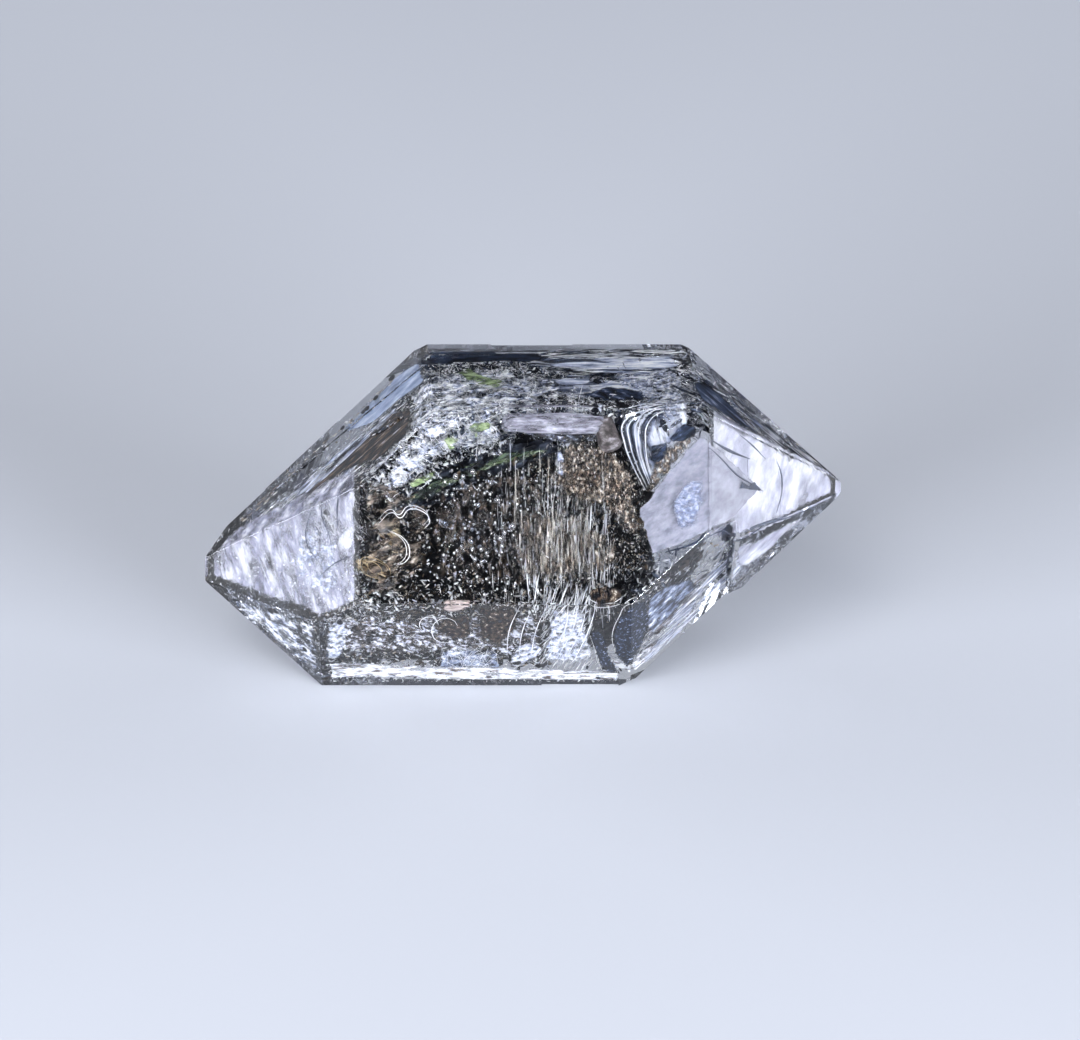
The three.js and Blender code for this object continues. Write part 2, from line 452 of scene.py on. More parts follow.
UPPER_LEFT = [(-5.7, 0.8), (-5.2, 2.0), (-4.6, 3.2), (-4.6, 4.6), (-3.5, 5.7), (-0.9, 5.9), (1.4, 5.4),
              (3.5, 4.9), (3.5, 3.8), (1.4, 3.75), (-0.6, 3.5), (0, 2.9), (-0.9, 2.1), (-2.7, 1.8),
              (-3.7, 0.9), (-4.7, 0.3)]
UPPER_RIGHT = [(2.9, 5.4), (5.2, 6.1), (6.4, 5.4), (6.7, 3.9), (5.4, 3.0), (4.4, 3.7), (3.3, 4.4)]
flakes("white_crackle", 2, 6500, UPPER_LEFT, (0.3, 3.0), (0.03, 0.36), milky, clump=0.6)
flakes("silvery_crackle", 4, 1500, UPPER_LEFT, (0.4, 3.0), (0.08, 0.6), silver, clump=0.5, broad=0.4)
flakes("dark_crackle", 6, 1100, UPPER_LEFT, (0.4, 3.2), (0.08, 0.8), shadow, clump=0.9, broad=0.45)
# Painted shade: large dark flakes deep behind the crackle, facing the front, darken what shows through it.
flakes("crackle_painted_shade_backing", 8, 420, UPPER_LEFT, (4.0, 5.5), (0.5, 1.8), shadow, broad=0.7,
       facing=OUT_OF_FRONT, wander=0.3, sides=8)
threads("crackle_threads", 10, strays(9, 300, UPPER_LEFT, (0.3, 1.0), points=3), (0.008, 0.03), milky,
        0.8, wave=0.4)
flakes("right_silver", 12, 900, UPPER_RIGHT, (0.3, 4.0), (0.08, 0.8), silver, clump=0.6, broad=0.3)
flakes("right_white", 14, 1200, UPPER_RIGHT, (0.3, 3.0), (0.04, 0.4), milky, clump=0.6, broad=0.3)
flakes("right_dark", 16, 260, UPPER_RIGHT, (0.5, 4.2), (0.15, 1.2), shadow, clump=0.8, broad=0.3)

# ---------------------------------------------------------------- films of healed fracture
# Healed fractures hang in the quartz like wavy sheets of film. Each is a thin closed sheet whose
# material breaks its cover into patches and grains, or draws it out into streaks, and fades it
# towards its edges.

FILM_THICKNESS = 0.02 * MM
WAVES = 0.9  # of a film, per millimetre
PULLED_IN = 0.99  # for a place whose line of sight just misses the crystal
PIERCING = 0.3 * MM  # a place less than this beyond the skin is drawn back under it
DRAWN_BACK = 0.05 * MM

noise.seed_set(1)  # noise_vector, which bends films and rods, would otherwise go by the clock


def edge_distance(outline, along, up):
    """How far a place lies from the nearest side of an outline, in millimetres."""
    place = np.array((along, up))
    nearest = np.inf
    for first, last in zip(outline, outline[1:] + outline[:1]):
        first, last = np.array(first), np.array(last)
        share = np.clip(np.dot(place - first, last - first) / np.dot(last - first, last - first), 0, 1)
        nearest = min(nearest, np.linalg.norm(place - first - share * (last - first)))
    return nearest


def held_in(along, up, deep):
    """The place that inside gives, or one just under the skin where that would pierce the far side."""
    place = inside(along, up, deep)
    if place is None or not -PIERCING < below_skin(place) < LEAST_COVER:
        return place
    nearest, normal, _, _ = skin.find_nearest(place)
    return nearest - normal * DRAWN_BACK


def sheet(name, outline, deep, material, fade=0.6, cell=0.14, wave=0.1):
    """A thin wavy sheet behind an outline. Its edge attribute rises from 0 at the outline to 1 at a
    distance of fade."""
    low, high = np.min(outline, axis=0), np.max(outline, axis=0)
    counts = np.ceil((high - low) / cell).astype(int)
    bpy.ops.object.select_all(action="DESELECT")
    bpy.ops.mesh.primitive_grid_add(x_subdivisions=int(counts[0]), y_subdivisions=int(counts[1]), size=1)
    piece = bpy.context.object
    piece.name = name
    for vertex in piece.data.vertices:
        vertex.co.xy = low + (np.array(vertex.co.xy) + 0.5) * (high - low)
    bpy.ops.object.mode_set(mode="EDIT")
    bpy.ops.mesh.select_all(action="DESELECT")
    shape = bmesh.from_edit_mesh(piece.data)
    for face in shape.faces:
        along, up, _ = face.calc_center_median()
        face.select_set(not within(outline, along, up) or inside(along, up, deep) is None)
    bmesh.update_edit_mesh(piece.data)
    bpy.ops.mesh.delete(type="FACE")
    bpy.ops.object.mode_set(mode="OBJECT")
    edge = []
    for vertex in piece.data.vertices:
        along, up, _ = vertex.co
        edge.append(min(edge_distance(outline, along, up) / fade, 1))
        waver = noise.noise_vector(Vector((along, up, deep)) * WAVES)
        depth = deep + wave * waver.z
        place = held_in(along, up, depth)
        vertex.co = held_in(along * PULLED_IN, up * PULLED_IN, depth) if place is None else place
    keep(piece.data, "edge", edge)
    solid = piece.modifiers.new("thickness", "SOLIDIFY")
    solid.thickness = FILM_THICKNESS
    solid.offset = 0
    bpy.ops.object.modifier_apply(modifier="thickness")
    bpy.ops.object.shade_smooth()
    settle(piece, material)


# Pattern of a film: a shade that changes from grain to grain, and a cover that comes in patches.
COVER_VALUES = ("Open below", "Full above", "Most cover")
film_pattern = bpy.data.node_groups.new("film_pattern", "ShaderNodeTree")
film_pattern.interface.new_socket("Place", in_out="INPUT", socket_type="NodeSocketVector")
for socket in COVER_VALUES:
    film_pattern.interface.new_socket(socket, in_out="INPUT", socket_type="NodeSocketFloat")
film_pattern.interface.new_socket("Shade", in_out="OUTPUT", socket_type="NodeSocketFloat")
film_pattern.interface.new_socket("Cover", in_out="OUTPUT", socket_type="NodeSocketFloat")
given, made = film_pattern.nodes.new("NodeGroupInput"), film_pattern.nodes.new("NodeGroupOutput")
grains, patches = shader_node(film_pattern, "TexNoise"), shader_node(film_pattern, "TexNoise")
for texture, scale, start in ((grains, 1.0, 0.0), (patches, 0.7, 7.0)):
    texture.noise_dimensions = "4D"
    with_values(texture, {"Scale": scale, "W": start, "Detail": 6, "Roughness": 0.65})
    wire(given, "Place", texture, "Vector")
at_edge = shader_node(film_pattern, "Attribute")
at_edge.attribute_name = "edge"
lowered, faded = shader_node(film_pattern, "Math"), shader_node(film_pattern, "Math")
lowered.operation = "SUBTRACT"
lowered.inputs[1].default_value = 0.5
faded.operation = "MULTIPLY_ADD"  # half the edge value, added to the lowered patches
faded.inputs[1].default_value = 0.5
cover = shader_node(film_pattern, "MapRange")
wire(patches, "Fac", lowered, 0)
wire(at_edge, "Fac", faded, 0)
wire(lowered, 0, faded, 2)
wire(faded, 0, cover, "Value")
wire(given, "Open below", cover, "From Min")
wire(given, "Full above", cover, "From Max")
wire(given, "Most cover", cover, "To Max")
wire(grains, "Fac", made, "Shade")
wire(cover, "Result", made, "Cover")


def film(name, stops, cover, size, grain=ALONG, Roughness=0.4, **values):
    """A film's material. stops are its ramp of colours, cover holds the pattern's three cover values,
    and size is that of the grains along the grain and across it, in millimetres."""
    material = principled(name, Roughness=Roughness, **values)
    tree = material.node_tree
    where = shader_node(tree, "TexCoord")
    turned = shader_node(tree, "Mapping")
    turned.vector_type = "TEXTURE"
    with_values(turned, {"Rotation": Vector(grain).to_track_quat("X", "Z").to_euler(),
                         "Scale": Vector((size[0], size[1], size[1])) * MM})
    pattern = shader_node(tree, "Group")
    pattern.node_tree = film_pattern
    with_values(pattern, dict(zip(COVER_VALUES, cover)))
    wire(where, "Object", turned, "Vector")
    wire(turned, "Vector", pattern, "Place")
    wire(pattern, "Shade", colour_ramp(tree, stops), "Fac")
    wire(pattern, "Cover", tree.nodes["Principled BSDF"], "Alpha")
    return material


def sheets(name, outline, depths, material, **shape):
    """One sheet behind another, numbered."""
    for number, deep in enumerate(depths):
        sheet(f"{name}_{number}", outline, deep, material, **shape)


HALF = (0.46, 0.56)  # noise values between which a film goes from open to full
WHITE, PALE, GREY = (1.0, 1.0, 1.0), (0.56, 0.6, 0.75), (0.18, 0.21, 0.31)
SLATE, NAVY, INK = (0.07, 0.09, 0.15), (0.02, 0.032, 0.065), (0.005, 0.006, 0.01)
BROWN, UMBER, TAN, IVORY = (0.05, 0.03, 0.018), (0.13, 0.1, 0.075), (0.22, 0.165, 0.12), (0.75, 0.7, 0.62)

crackle_film = film("crackle_film", [(0.4, INK), (0.44, GREY), (0.48, PALE), (0.53, WHITE)],
                    (*HALF, 0.95), (0.42, 0.26))
sheets("crackle_film", UPPER_LEFT, (0.7, 1.5, 2.4), crackle_film, wave=0.4)
right_film = film("right_crackle_film", [(0.36, NAVY), (0.44, GREY), (0.5, PALE), (0.57, WHITE)],
                  (*HALF, 0.9), (0.6, 0.15), ALONG * 0.6 + UP_FRONT * 0.8, Roughness=0.35)
sheets("right_crackle_film", UPPER_RIGHT, (0.7, 1.6), right_film, wave=0.4)

# ---------------------------------------------------------------- bitumen in the middle
# The middle of the crystal is dark. Smears of black bitumen are trapped in a growth layer that lies
# level with the broad front face; that deep layer is also painted shade, which darkens what is seen
# through the middle. Above it a slate-coloured band runs up to the right. Both are flakes that lie level.

# Black bitumen, which is also painted shade in the deep layers behind the middle and the lower stain.
bitumen = toned("black_bitumen_and_painted_shade", [(0, (0.004, 0.004, 0.005)), (0.8, (0.015, 0.014, 0.016)),
                                  (1, (0.09, 0.06, 0.035))], Roughness=0.35)
slate = toned("slate_bitumen", [(0, (0.008, 0.012, 0.02)), (1, (0.1, 0.12, 0.17))], 1, 0.8,
              Metallic=0.3, Roughness=0.3)
MIDDLE = [(-3.6, 1.9), (1.4, 2.3), (3.6, 3.0), (4.8, 1.8), (4.7, -3.3), (-3.1, -3.4), (-6.0, -3.3),
          (-6.0, 1.4), (-4.4, 1.3)]
BAND = [(-4.7, 0.4), (-3.1, 1.6), (-0.7, 2.4), (1.4, 2.6), (1.4, 2.0), (-0.9, 1.6), (-2.7, 0.7), (-4.3, 0.0)]
LEVEL = dict(facing=OUT_OF_FRONT, wander=0.3, bend=0.12)
# Bitumen and painted shade: this deep layer of broad dark flakes darkens the see-through middle.
flakes("bitumen_and_painted_shade_layer", 18, 2200, MIDDLE, (4.4, 6.2), (0.35, 1.6), bitumen, clear=0.4, broad=0.75,
       sides=9, **LEVEL)
flakes("bitumen_specks", 20, 2500, MIDDLE, (1.0, 4.4), (0.05, 0.6), bitumen, clump=0.6)
flakes("slate_band", 22, 520, BAND, (2.2, 4.0), (0.3, 1.6), slate, broad=0.35,
       grain=ALONG * 0.9 + UP_FRONT * 0.42, stray=0.12, **LEVEL)

# ---------------------------------------------------------------- bubbles
# Fluid bubbles are strewn through the dark middle. Most are no wider than a hair. All balls of one
# kind are one mesh.

BALL_BANDS, BALL_SIDES = 6, 9
STRETCH = 1.3  # the longest bubbles' length, in widths
SMALLER = 1.5  # the higher, the more of the bubbles are small


def bubbles(name, seed, places, radius, material):
    """Small closed balls, in a range of radii in millimetres, small ones being the commonest."""
    random = np.random.default_rng(seed)
    n, sides = len(places), BALL_SIDES
    polar = np.linspace(0, np.pi, BALL_BANDS + 1)[1:-1]
    turn = np.linspace(0, 2 * np.pi, sides, endpoint=False)
    ring = np.stack([np.outer(np.sin(polar), np.cos(turn)), np.outer(np.sin(polar), np.sin(turn)),
                     np.outer(np.cos(polar), np.ones(sides))], -1).reshape(-1, 3)
    ball = np.concatenate([ring, [[0, 0, 1], [0, 0, -1]]])
    r = radius[0] * (radius[1] / radius[0]) ** (random.uniform(0, 1, n) ** SMALLER) * MM
    scale = np.stack([r, r, r * random.uniform(1, STRETCH, n)], 1)
    verts = ball[None] * scale[:, None] + np.asarray(places)[:, None]
    north, south, last = len(ring), len(ring) + 1, (len(polar) - 1) * sides
    faces = []
    for k in range(sides):
        j = (k + 1) % sides
        faces += [(north, k, j), (south, last + j, last + k)]
        for a in range(0, last, sides):
            b = a + sides
            faces += [(a + k, b + k, b + j), (a + k, b + j, a + j)]
    faces = np.array(faces)[None] + (np.arange(n) * len(ball))[:, None, None]
    joined(name, verts, faces, np.repeat(random.uniform(0, 1, n), len(ball)), material)


DARK_MIDDLE = [(-3.6, 1.6), (-0.1, 2.0), (1.4, 1.3), (1.4, -3.2), (-3.1, -3.2), (-3.9, -1.0)]
DOT_CLUSTER = [(-3.6, 1.5), (-0.6, 1.7), (-0.3, -1.0), (-1.4, -2.2), (-2.9, -1.2)]
bubbles("fluid_bubbles", 24, scatter(23, 900, DARK_MIDDLE, (0.6, 4.0), clump=0.7), (0.008, 0.05), milky)
bubbles("larger_bubbles", 26, scatter(25, 160, DOT_CLUSTER, (0.6, 3.0), clump=0.9), (0.04, 0.11), silver)

# ---------------------------------------------------------------- growth tubes
# Fine hollow tubes run square to the c axis, up the front of the crystal. They are needles, with
# drawn-out films between them and brown films over the bubbles.

TUBES = [(-0.9, 1.8), (-0.3, 2.3), (1.4, 2.8), (3.3, 2.4), (3.2, -3.2), (-1.2, -3.3)]
LOWER_TUBES = [(0.6, 0.5), (3.2, 0.5), (3.6, -3.2), (-0.5, -3.2)]
flakes("growth_tubes", 28, 420, TUBES, (0.8, 4.0), (0.2, 2.2), milky, clump=0.9, broad=0.04, thick=0.02,
       grain=UP_FRONT, stray=0.06, bend=0.03)
flakes("lower_tubes", 30, 420, LOWER_TUBES, (0.8, 3.0), (0.2, 1.8), milky, clump=0.9, broad=0.06,
       thick=0.03, grain=UP_FRONT, stray=0.09, bend=0.05)
middle_film = film("middle_film", [(0.42, INK), (0.5, BROWN), (0.56, UMBER), (0.64, PALE)],
                   (0.52, 0.6, 0.9), (0.35, 0.18), UP_FRONT, Roughness=0.35)
sheets("middle_film", DARK_MIDDLE, (1.2, 2.4), middle_film, wave=0.4)
tube_film = film("tube_film", [(0.42, INK), (0.5, UMBER), (0.56, IVORY), (0.64, WHITE)],
                 (0.55, 0.64, 0.7), (2.2, 0.09), UP_FRONT, Roughness=0.35)
sheet("tube_film_0", TUBES, 1.0, tube_film, wave=0.2)
sheet("tube_film_1", LOWER_TUBES, 0.7, tube_film, wave=0.2)

# ---------------------------------------------------------------- iron stain
# Rusty brown grains, mixed with white and black ones, fill the quartz right of the middle, the
# left end of the front face and the foot of the crystal. They are small flakes, with films between.

stain = toned("iron_stain", [(0, (0.012, 0.009, 0.007)), (0.25, (0.08, 0.05, 0.03)),
                             (0.5, (0.3, 0.22, 0.14)), (0.7, (0.7, 0.64, 0.56)),
                             (1, (1.0, 0.98, 0.95))], 2, 0.5, Metallic=0.2, Roughness=0.3)
RIGHT_OF_MIDDLE = [(0.2, 1.8), (1.4, 3.0), (3.4, 3.0), (4.5, 1.7), (4.7, -1.7), (3.2, -2.9), (0.8, -3.0)]
LEFT_OF_MIDDLE = [(-6.0, 1.6), (-4.7, 1.0), (-3.5, 0.5), (-3.4, -1.0), (-4.2, -3.2), (-6.0, -3.2)]
BELOW_MIDDLE = [(-6.5, -3.4), (-2.7, -3.4), (1.4, -3.3), (0.8, -5.7), (-3.1, -5.7), (-7.4, -5.6),
                (-7.3, -3.9)]
flakes("right_stain", 32, 4500, RIGHT_OF_MIDDLE, (0.8, 4.2), (0.03, 0.22), stain, clump=0.4, broad=0.5,
       grain=UP_FRONT, stray=1.5)
flakes("right_grains", 34, 2600, RIGHT_OF_MIDDLE, (0.5, 3.0), (0.02, 0.2), milky, clump=0.5, broad=0.3,
       grain=UP_FRONT, stray=0.4)
flakes("left_stain", 36, 900, LEFT_OF_MIDDLE, (1.0, 4.0), (0.04, 0.35), stain, clump=0.6, broad=0.45)
flakes("left_grains", 37, 600, LEFT_OF_MIDDLE, (0.8, 3.0), (0.03, 0.25), milky, clump=0.6)
flakes("lower_stain", 38, 1800, BELOW_MIDDLE, (0.4, 3.0), (0.04, 0.35), stain, clump=0.7, broad=0.4)
flakes("lower_crackle", 40, 2600, BELOW_MIDDLE, (0.3, 2.5), (0.03, 0.45), milky, clump=0.8, broad=0.3)
# Painted shade: a deep layer of dark flakes, facing the front, darkens what is seen behind the lower stain.
flakes("lower_painted_shade_backing", 42, 500, BELOW_MIDDLE, (3.0, 4.5), (0.4, 1.5), bitumen, broad=0.7, sides=8,
       **LEVEL)
stain_film = film("stain_film", [(0.42, INK), (0.48, BROWN), (0.55, TAN), (0.62, IVORY), (0.68, WHITE)],
                  (0.42, 0.56, 0.9), (0.18, 0.12), UP_FRONT, Roughness=0.35)
drawn_film = film("drawn_film", [(0.42, INK), (0.48, BROWN), (0.54, TAN), (0.6, IVORY), (0.68, WHITE)],
                  (0.46, 0.6, 0.8), (1.3, 0.13), UP_FRONT, Roughness=0.35)
RIGHT_ABOVE = [(0.4, 1.0), (1.4, 3.0), (3.4, 3.0), (4.5, 1.7), (4.8, -1.4), (3.8, -1.2), (2.8, -0.2),
               (1.6, 0.2)]
RIGHT_BELOW = [(-0.5, 0.2), (1.6, 0.7), (2.8, 0.2), (3.9, -0.8), (4.5, -1.9), (3.3, -2.8), (-0.9, -3.2)]
for number, deep in enumerate((0.8, 1.8)):
    sheet(f"right_stain_film_{number}", RIGHT_ABOVE, deep, stain_film, wave=0.4)
    sheet(f"right_drawn_film_{number}", RIGHT_BELOW, deep, drawn_film, fade=0.8, wave=0.4)
umber_film = film("umber_film", [(0.4, INK), (0.47, BROWN), (0.53, UMBER), (0.58, TAN), (0.65, IVORY)],
                  (*HALF, 0.9), (0.5, 0.22), ALONG + UP_FRONT * 0.4, Roughness=0.35)
sheet("left_stain_film", LEFT_OF_MIDDLE, 0.7, umber_film, fade=0.2, wave=0.3)
lower_film = film("lower_film", [(0.42, INK), (0.48, UMBER), (0.53, PALE), (0.59, WHITE)],
                  (*HALF, 0.9), (0.55, 0.24), UP_FRONT - ALONG * 0.4)
sheet("lower_stain_film", BELOW_MIDDLE, 1.3, umber_film, wave=0.3)
sheet("lower_white_film", BELOW_MIDDLE, 0.6, lower_film, wave=0.2)

# ---------------------------------------------------------------- green flecks
# A few flecks of pale green mica lie in the crackle, and a darker one along the slate band. They are
# small films.

GREEN_PLACES = [[(-2.6, 5.3), (-2.0, 5.5), (-1.5, 5.2), (-0.6, 5.0), (-0.9, 4.6), (-1.5, 4.7), (-2.2, 5.0)],
                [(-2.1, 3.1), (-1.8, 3.4), (-1.2, 3.4), (-1.1, 3.1), (-1.6, 2.9), (-1.7, 2.6)],
                [(-3.0, 2.7), (-2.6, 3.0), (-2.3, 2.8), (-2.4, 2.4), (-2.7, 2.2)],
                [(-4.4, 1.1), (-3.7, 1.4), (-3.1, 1.7), (-3.3, 1.2), (-4.1, 0.8)]]
mica = film("green_mica", [(0.38, (0.03, 0.05, 0.025)), (0.48, (0.14, 0.2, 0.07)), (0.6, (0.42, 0.5, 0.3))],
            (0.4, 0.52, 0.9), (0.3, 0.14), Roughness=0.35)
for number, outline in enumerate(GREEN_PLACES):
    sheet(f"green_mica_{number}", outline, 0.25, mica, fade=0.08, cell=0.06, wave=0.04)
dark_mica = film("dark_mica", [(0.4, INK), (0.48, (0.02, 0.045, 0.03)), (0.56, (0.1, 0.15, 0.05)),
                               (0.66, (0.4, 0.46, 0.36))], (*HALF, 0.95), (1.0, 0.2),
                 ALONG * 0.9 + UP_FRONT * 0.42, Roughness=0.35)
sheet("green_mica_band", BAND, 1.9, dark_mica, fade=0.2, cell=0.1, wave=0.1)

# ---------------------------------------------------------------- snow and wisps in the left end
# The left end is clouded by a snow of tiny healed cracks, thickest low down, with wisps above. A
# lilac haze, which is a film, lies under its whole front face.

LEFT_SNOW = [(-8.4, 0.3), (-6.3, -0.3), (-6.1, -3.2), (-7.3, -3.9), (-8.6, -3.1), (-9.4, -1.8)]
LEFT_WISPS = [(-10.4, -0.3), (-6.2, 1.9), (-6.1, -1.0), (-8.2, -1.0)]
LEFT_TIP = [(-11.7, -1.6), (-10.9, -0.3), (-9.8, -0.3), (-9.6, -2.4), (-10.8, -2.6)]
LEFT_LOW = [(-11.5, -2.9), (-7.7, -4.1), (-7.6, -6.1), (-8.4, -5.7), (-10.3, -4.0)]
LEFT_FACE = [(-11.75, -2.4), (-11.75, -1.45), (-10.9, -0.45), (-6.15, 1.85), (-6.15, -3.35), (-7.5, -3.95)]
flakes("left_snow", 52, 3600, LEFT_SNOW, (0.2, 3.0), (0.02, 0.22), milky, clump=0.8)
flakes("left_wisps", 54, 260, LEFT_WISPS, (0.2, 2.2), (0.2, 1.2), milky, clump=0.8, broad=0.03,
       thick=0.01, grain=UP_FRONT * 0.8 - ALONG * 0.5, stray=0.3)
flakes("left_tip_snow", 56, 420, LEFT_TIP, (0.2, 2.0), (0.03, 0.3), milky, clump=0.6)
flakes("left_low_crackle", 58, 600, LEFT_LOW, (0.2, 2.0), (0.05, 0.5), silver, clump=0.6, broad=0.3)
flakes("left_low_dark", 60, 260, LEFT_LOW, (0.4, 2.0), (0.1, 0.9), shadow, clump=0.6, broad=0.3)
sheet("left_low_film", LEFT_LOW, 0.3, crackle_film, fade=0.15, cell=0.1, wave=0.05)
snow_film = film("snow_film", [(0.4, GREY), (0.5, PALE), (0.6, WHITE)], (*HALF, 0.8), (0.3, 0.22),
                 Roughness=0.45)
sheets("snow_film", LEFT_SNOW, (0.25, 1.2), snow_film, wave=0.05, fade=0.8)
haze_film = film("haze_film", [(0.38, (0.16, 0.16, 0.23)), (0.5, (0.42, 0.42, 0.53)),
                               (0.62, (0.95, 0.95, 1.0))], (0.34, 0.62, 0.85), (1.4, 0.45),
                 UP_FRONT - ALONG * 0.5, Roughness=0.45)
sheet("left_haze_film", LEFT_FACE, 0.35, haze_film, fade=0.15, wave=0.1)

# ---------------------------------------------------------------- broad fracture and loose films
# One broad flat fracture, grey and frosted, crosses the right end just under the skin, with a patch
# of pale blue in it. Smaller films of stain, white, blue and navy lie elsewhere.

lilac_frost = film("lilac_frost", [(0.35, (0.17, 0.17, 0.22)), (0.65, (0.42, 0.42, 0.5))],
                   (0.1, 0.2, 0.85), (0.6, 0.3), ALONG + UP_FRONT * 0.7)
blue_frost = film("blue_frost", [(0.38, (0.16, 0.19, 0.3)), (0.5, (0.3, 0.34, 0.48)),
                                 (0.6, (0.65, 0.68, 0.82))], (0.25, 0.6, 0.9), (0.16, 0.12))
white_frost = film("white_frost", [(0.4, (0.85, 0.86, 0.92)), (0.6, WHITE)], (0.1, 0.2, 0.9), (0.8, 0.3))
blue_film = film("blue_film", [(0.38, (0.14, 0.18, 0.29)), (0.52, (0.3, 0.36, 0.5)),
                               (0.64, (0.62, 0.67, 0.78))], (0.1, 0.3, 0.85), (1.2, 0.3),
                 ALONG * 0.8 + UP_FRONT * 0.6, Roughness=0.3)
navy_film = film("navy_film", [(0.4, INK), (0.6, NAVY)], (0.1, 0.25, 1.0), (0.8, 0.3),
                 Specular_IOR_Level=0.1)

RIGHT_PLANE = [(4.3, 0.1), (4.8, -1.6), (5.6, -1.35), (7.8, -0.3), (8.9, 0.9), (7.4, 2.3), (6.6, 2.9)]
BESIDE_PLANE = [(4.3, 0.1), (4.9, 2.3), (5.8, 2.8), (6.5, 3.2), (6.7, 2.9), (5.4, 1.3)]
BLUE_PATCH = [(5.4, 0.3), (5.8, -0.9), (6.5, -0.5), (6.85, 0.4), (6.8, 1.3), (6.2, 1.35), (5.8, 0.9)]
LEFT_PATCH = [(-7.3, -2.0), (-6.3, -1.3), (-6.2, -0.4), (-7.0, -0.9)]
UPPER_BLUE = [(-4.8, 5.2), (-3.9, 5.75), (-3.7, 4.9), (-4.8, 4.1), (-5.6, 3.4), (-6.8, 3.0), (-6.0, 4.05),
              (-5.35, 4.6)]
TOP_NAVY = [(-4.2, 5.6), (0.8, 5.75), (0.6, 6.05), (-3.4, 6.05)]
sheet("right_plane", RIGHT_PLANE, 0.4, lilac_frost, fade=0.2, cell=0.06)
sheet("beside_plane_film", BESIDE_PLANE, 0.6, stain_film, fade=0.15, cell=0.1)
sheet("blue_patch", BLUE_PATCH, 0.25, blue_frost, fade=0.25, cell=0.06, wave=0.02)
sheet("left_patch", LEFT_PATCH, 0.45, white_frost, fade=0.3, cell=0.08)
sheet("upper_blue_film", UPPER_BLUE, 0.35, blue_film, fade=0.1, cell=0.1, wave=0.03)
sheet("top_navy_film", TOP_NAVY, 0.3, navy_film, fade=0.1, cell=0.1, wave=0.03)

# ---------------------------------------------------------------- feather
# Beside the broad fracture a curved fracture surface carries ripples, one inside the other like the
# barbs of a feather. It is a rippled film with pale and dark threads on it and two navy eyes.

FEATHER = [(3.6, 3.9), (3.5, 2.7), (4.0, 1.5), (4.7, 0.5), (5.2, 1.2), (5.6, 2.2), (6.5, 3.2), (6.5, 4.6),
           (5.2, 4.4)]
RIPPLE_CENTRE = (6.6, 2.7)
RIPPLE_SPACING = 0.29 * MM
RING_WIDTH = 0.31  # of the wave texture at scale 1
OUTER_BARB = [(5.7, 4.08), (4.42, 4.0), (3.74, 3.3), (3.8, 2.57), (4.1, 1.74), (4.57, 0.83)]
INNER_BARB = [(5.6, 3.75), (5.1, 3.7), (4.65, 3.25), (4.58, 2.6), (4.65, 1.9), (4.84, 1.2)]
FEATHER_EYES = [[(5.35, 2.7), (5.7, 3.15), (6.0, 3.35), (6.5, 3.2), (6.55, 2.9), (6.0, 2.55), (5.5, 2.6)],
                [(4.7, 1.9), (4.75, 2.5), (5.4, 2.7), (5.5, 2.25), (5.1, 1.75)]]

feather = film("feather_film", [(0.4, NAVY), (0.47, GREY), (0.57, PALE), (0.66, WHITE)],
               (0.36, 0.48, 0.9), (1.2, 0.2), UP_FRONT - ALONG * 0.3, Roughness=0.3)
tree = feather.node_tree
where = shader_node(tree, "TexCoord")
centre = Vector((0, 0, C_AXIS_HEIGHT)) + (ALONG * RIPPLE_CENTRE[0] + UP_FRONT * RIPPLE_CENTRE[1]) * MM
centred = shader_node(tree, "Mapping", Location=-centre)
ripples = shader_node(tree, "TexWave", Scale=RING_WIDTH / RIPPLE_SPACING, Distortion=4.0, Detail=4.0,
                      Detail_Scale=1.3)
ripples.wave_type = "RINGS"
ripples.rings_direction = "SPHERICAL"
softened = shader_node(tree, "MapRange", To_Min=0.4, To_Max=0.62)
wire(where, "Object", centred, "Vector")
wire(centred, "Vector", ripples, "Vector")
wire(ripples, "Fac", softened, "Value")
wire(softened, "Result", tree.nodes["Color Ramp"], "Fac")
sheet("feather", FEATHER, 0.9, feather, fade=0.45, cell=0.1, wave=0.15)


def barbs(shares):
    """Routes that lie at shares of the way from the inner barb to the outer one."""
    inner, outer = np.array(INNER_BARB), np.array(OUTER_BARB)
    return [[tuple(place) for place in inner * (1 - share) + outer * share] for share in shares]


threads("pale_barbs", 121, barbs((0, 0.3, 0.45, 0.74, 1)), (0.03, 0.07), milky, 0.6, wave=0.1, tone=0.3)
threads("dark_barbs", 122, barbs((0.17, 0.6, 0.88)), (0.04, 0.09), shadow, 0.65, wave=0.1, tone=0.5)
eye_film = film("eye_film", [(0.45, INK), (0.56, NAVY), (0.62, (0.06, 0.08, 0.13)), (0.68, PALE)],
                (0.3, 0.5, 1.0), (0.5, 0.14), UP_FRONT * 0.6 + ALONG, Specular_IOR_Level=0.1)
for number, outline in enumerate(FEATHER_EYES):
    sheet(f"feather_eye_{number}", outline, 0.45, eye_film, fade=0.1, cell=0.06, wave=0.03)

# ---------------------------------------------------------------- tube and bubble under the top
# A frosted tube lies along the crystal under the crackle, with its dark shade below it and a pale
# flame beside that. A smoky bubble closes its right end. Tube and bubble are rods with round ends.

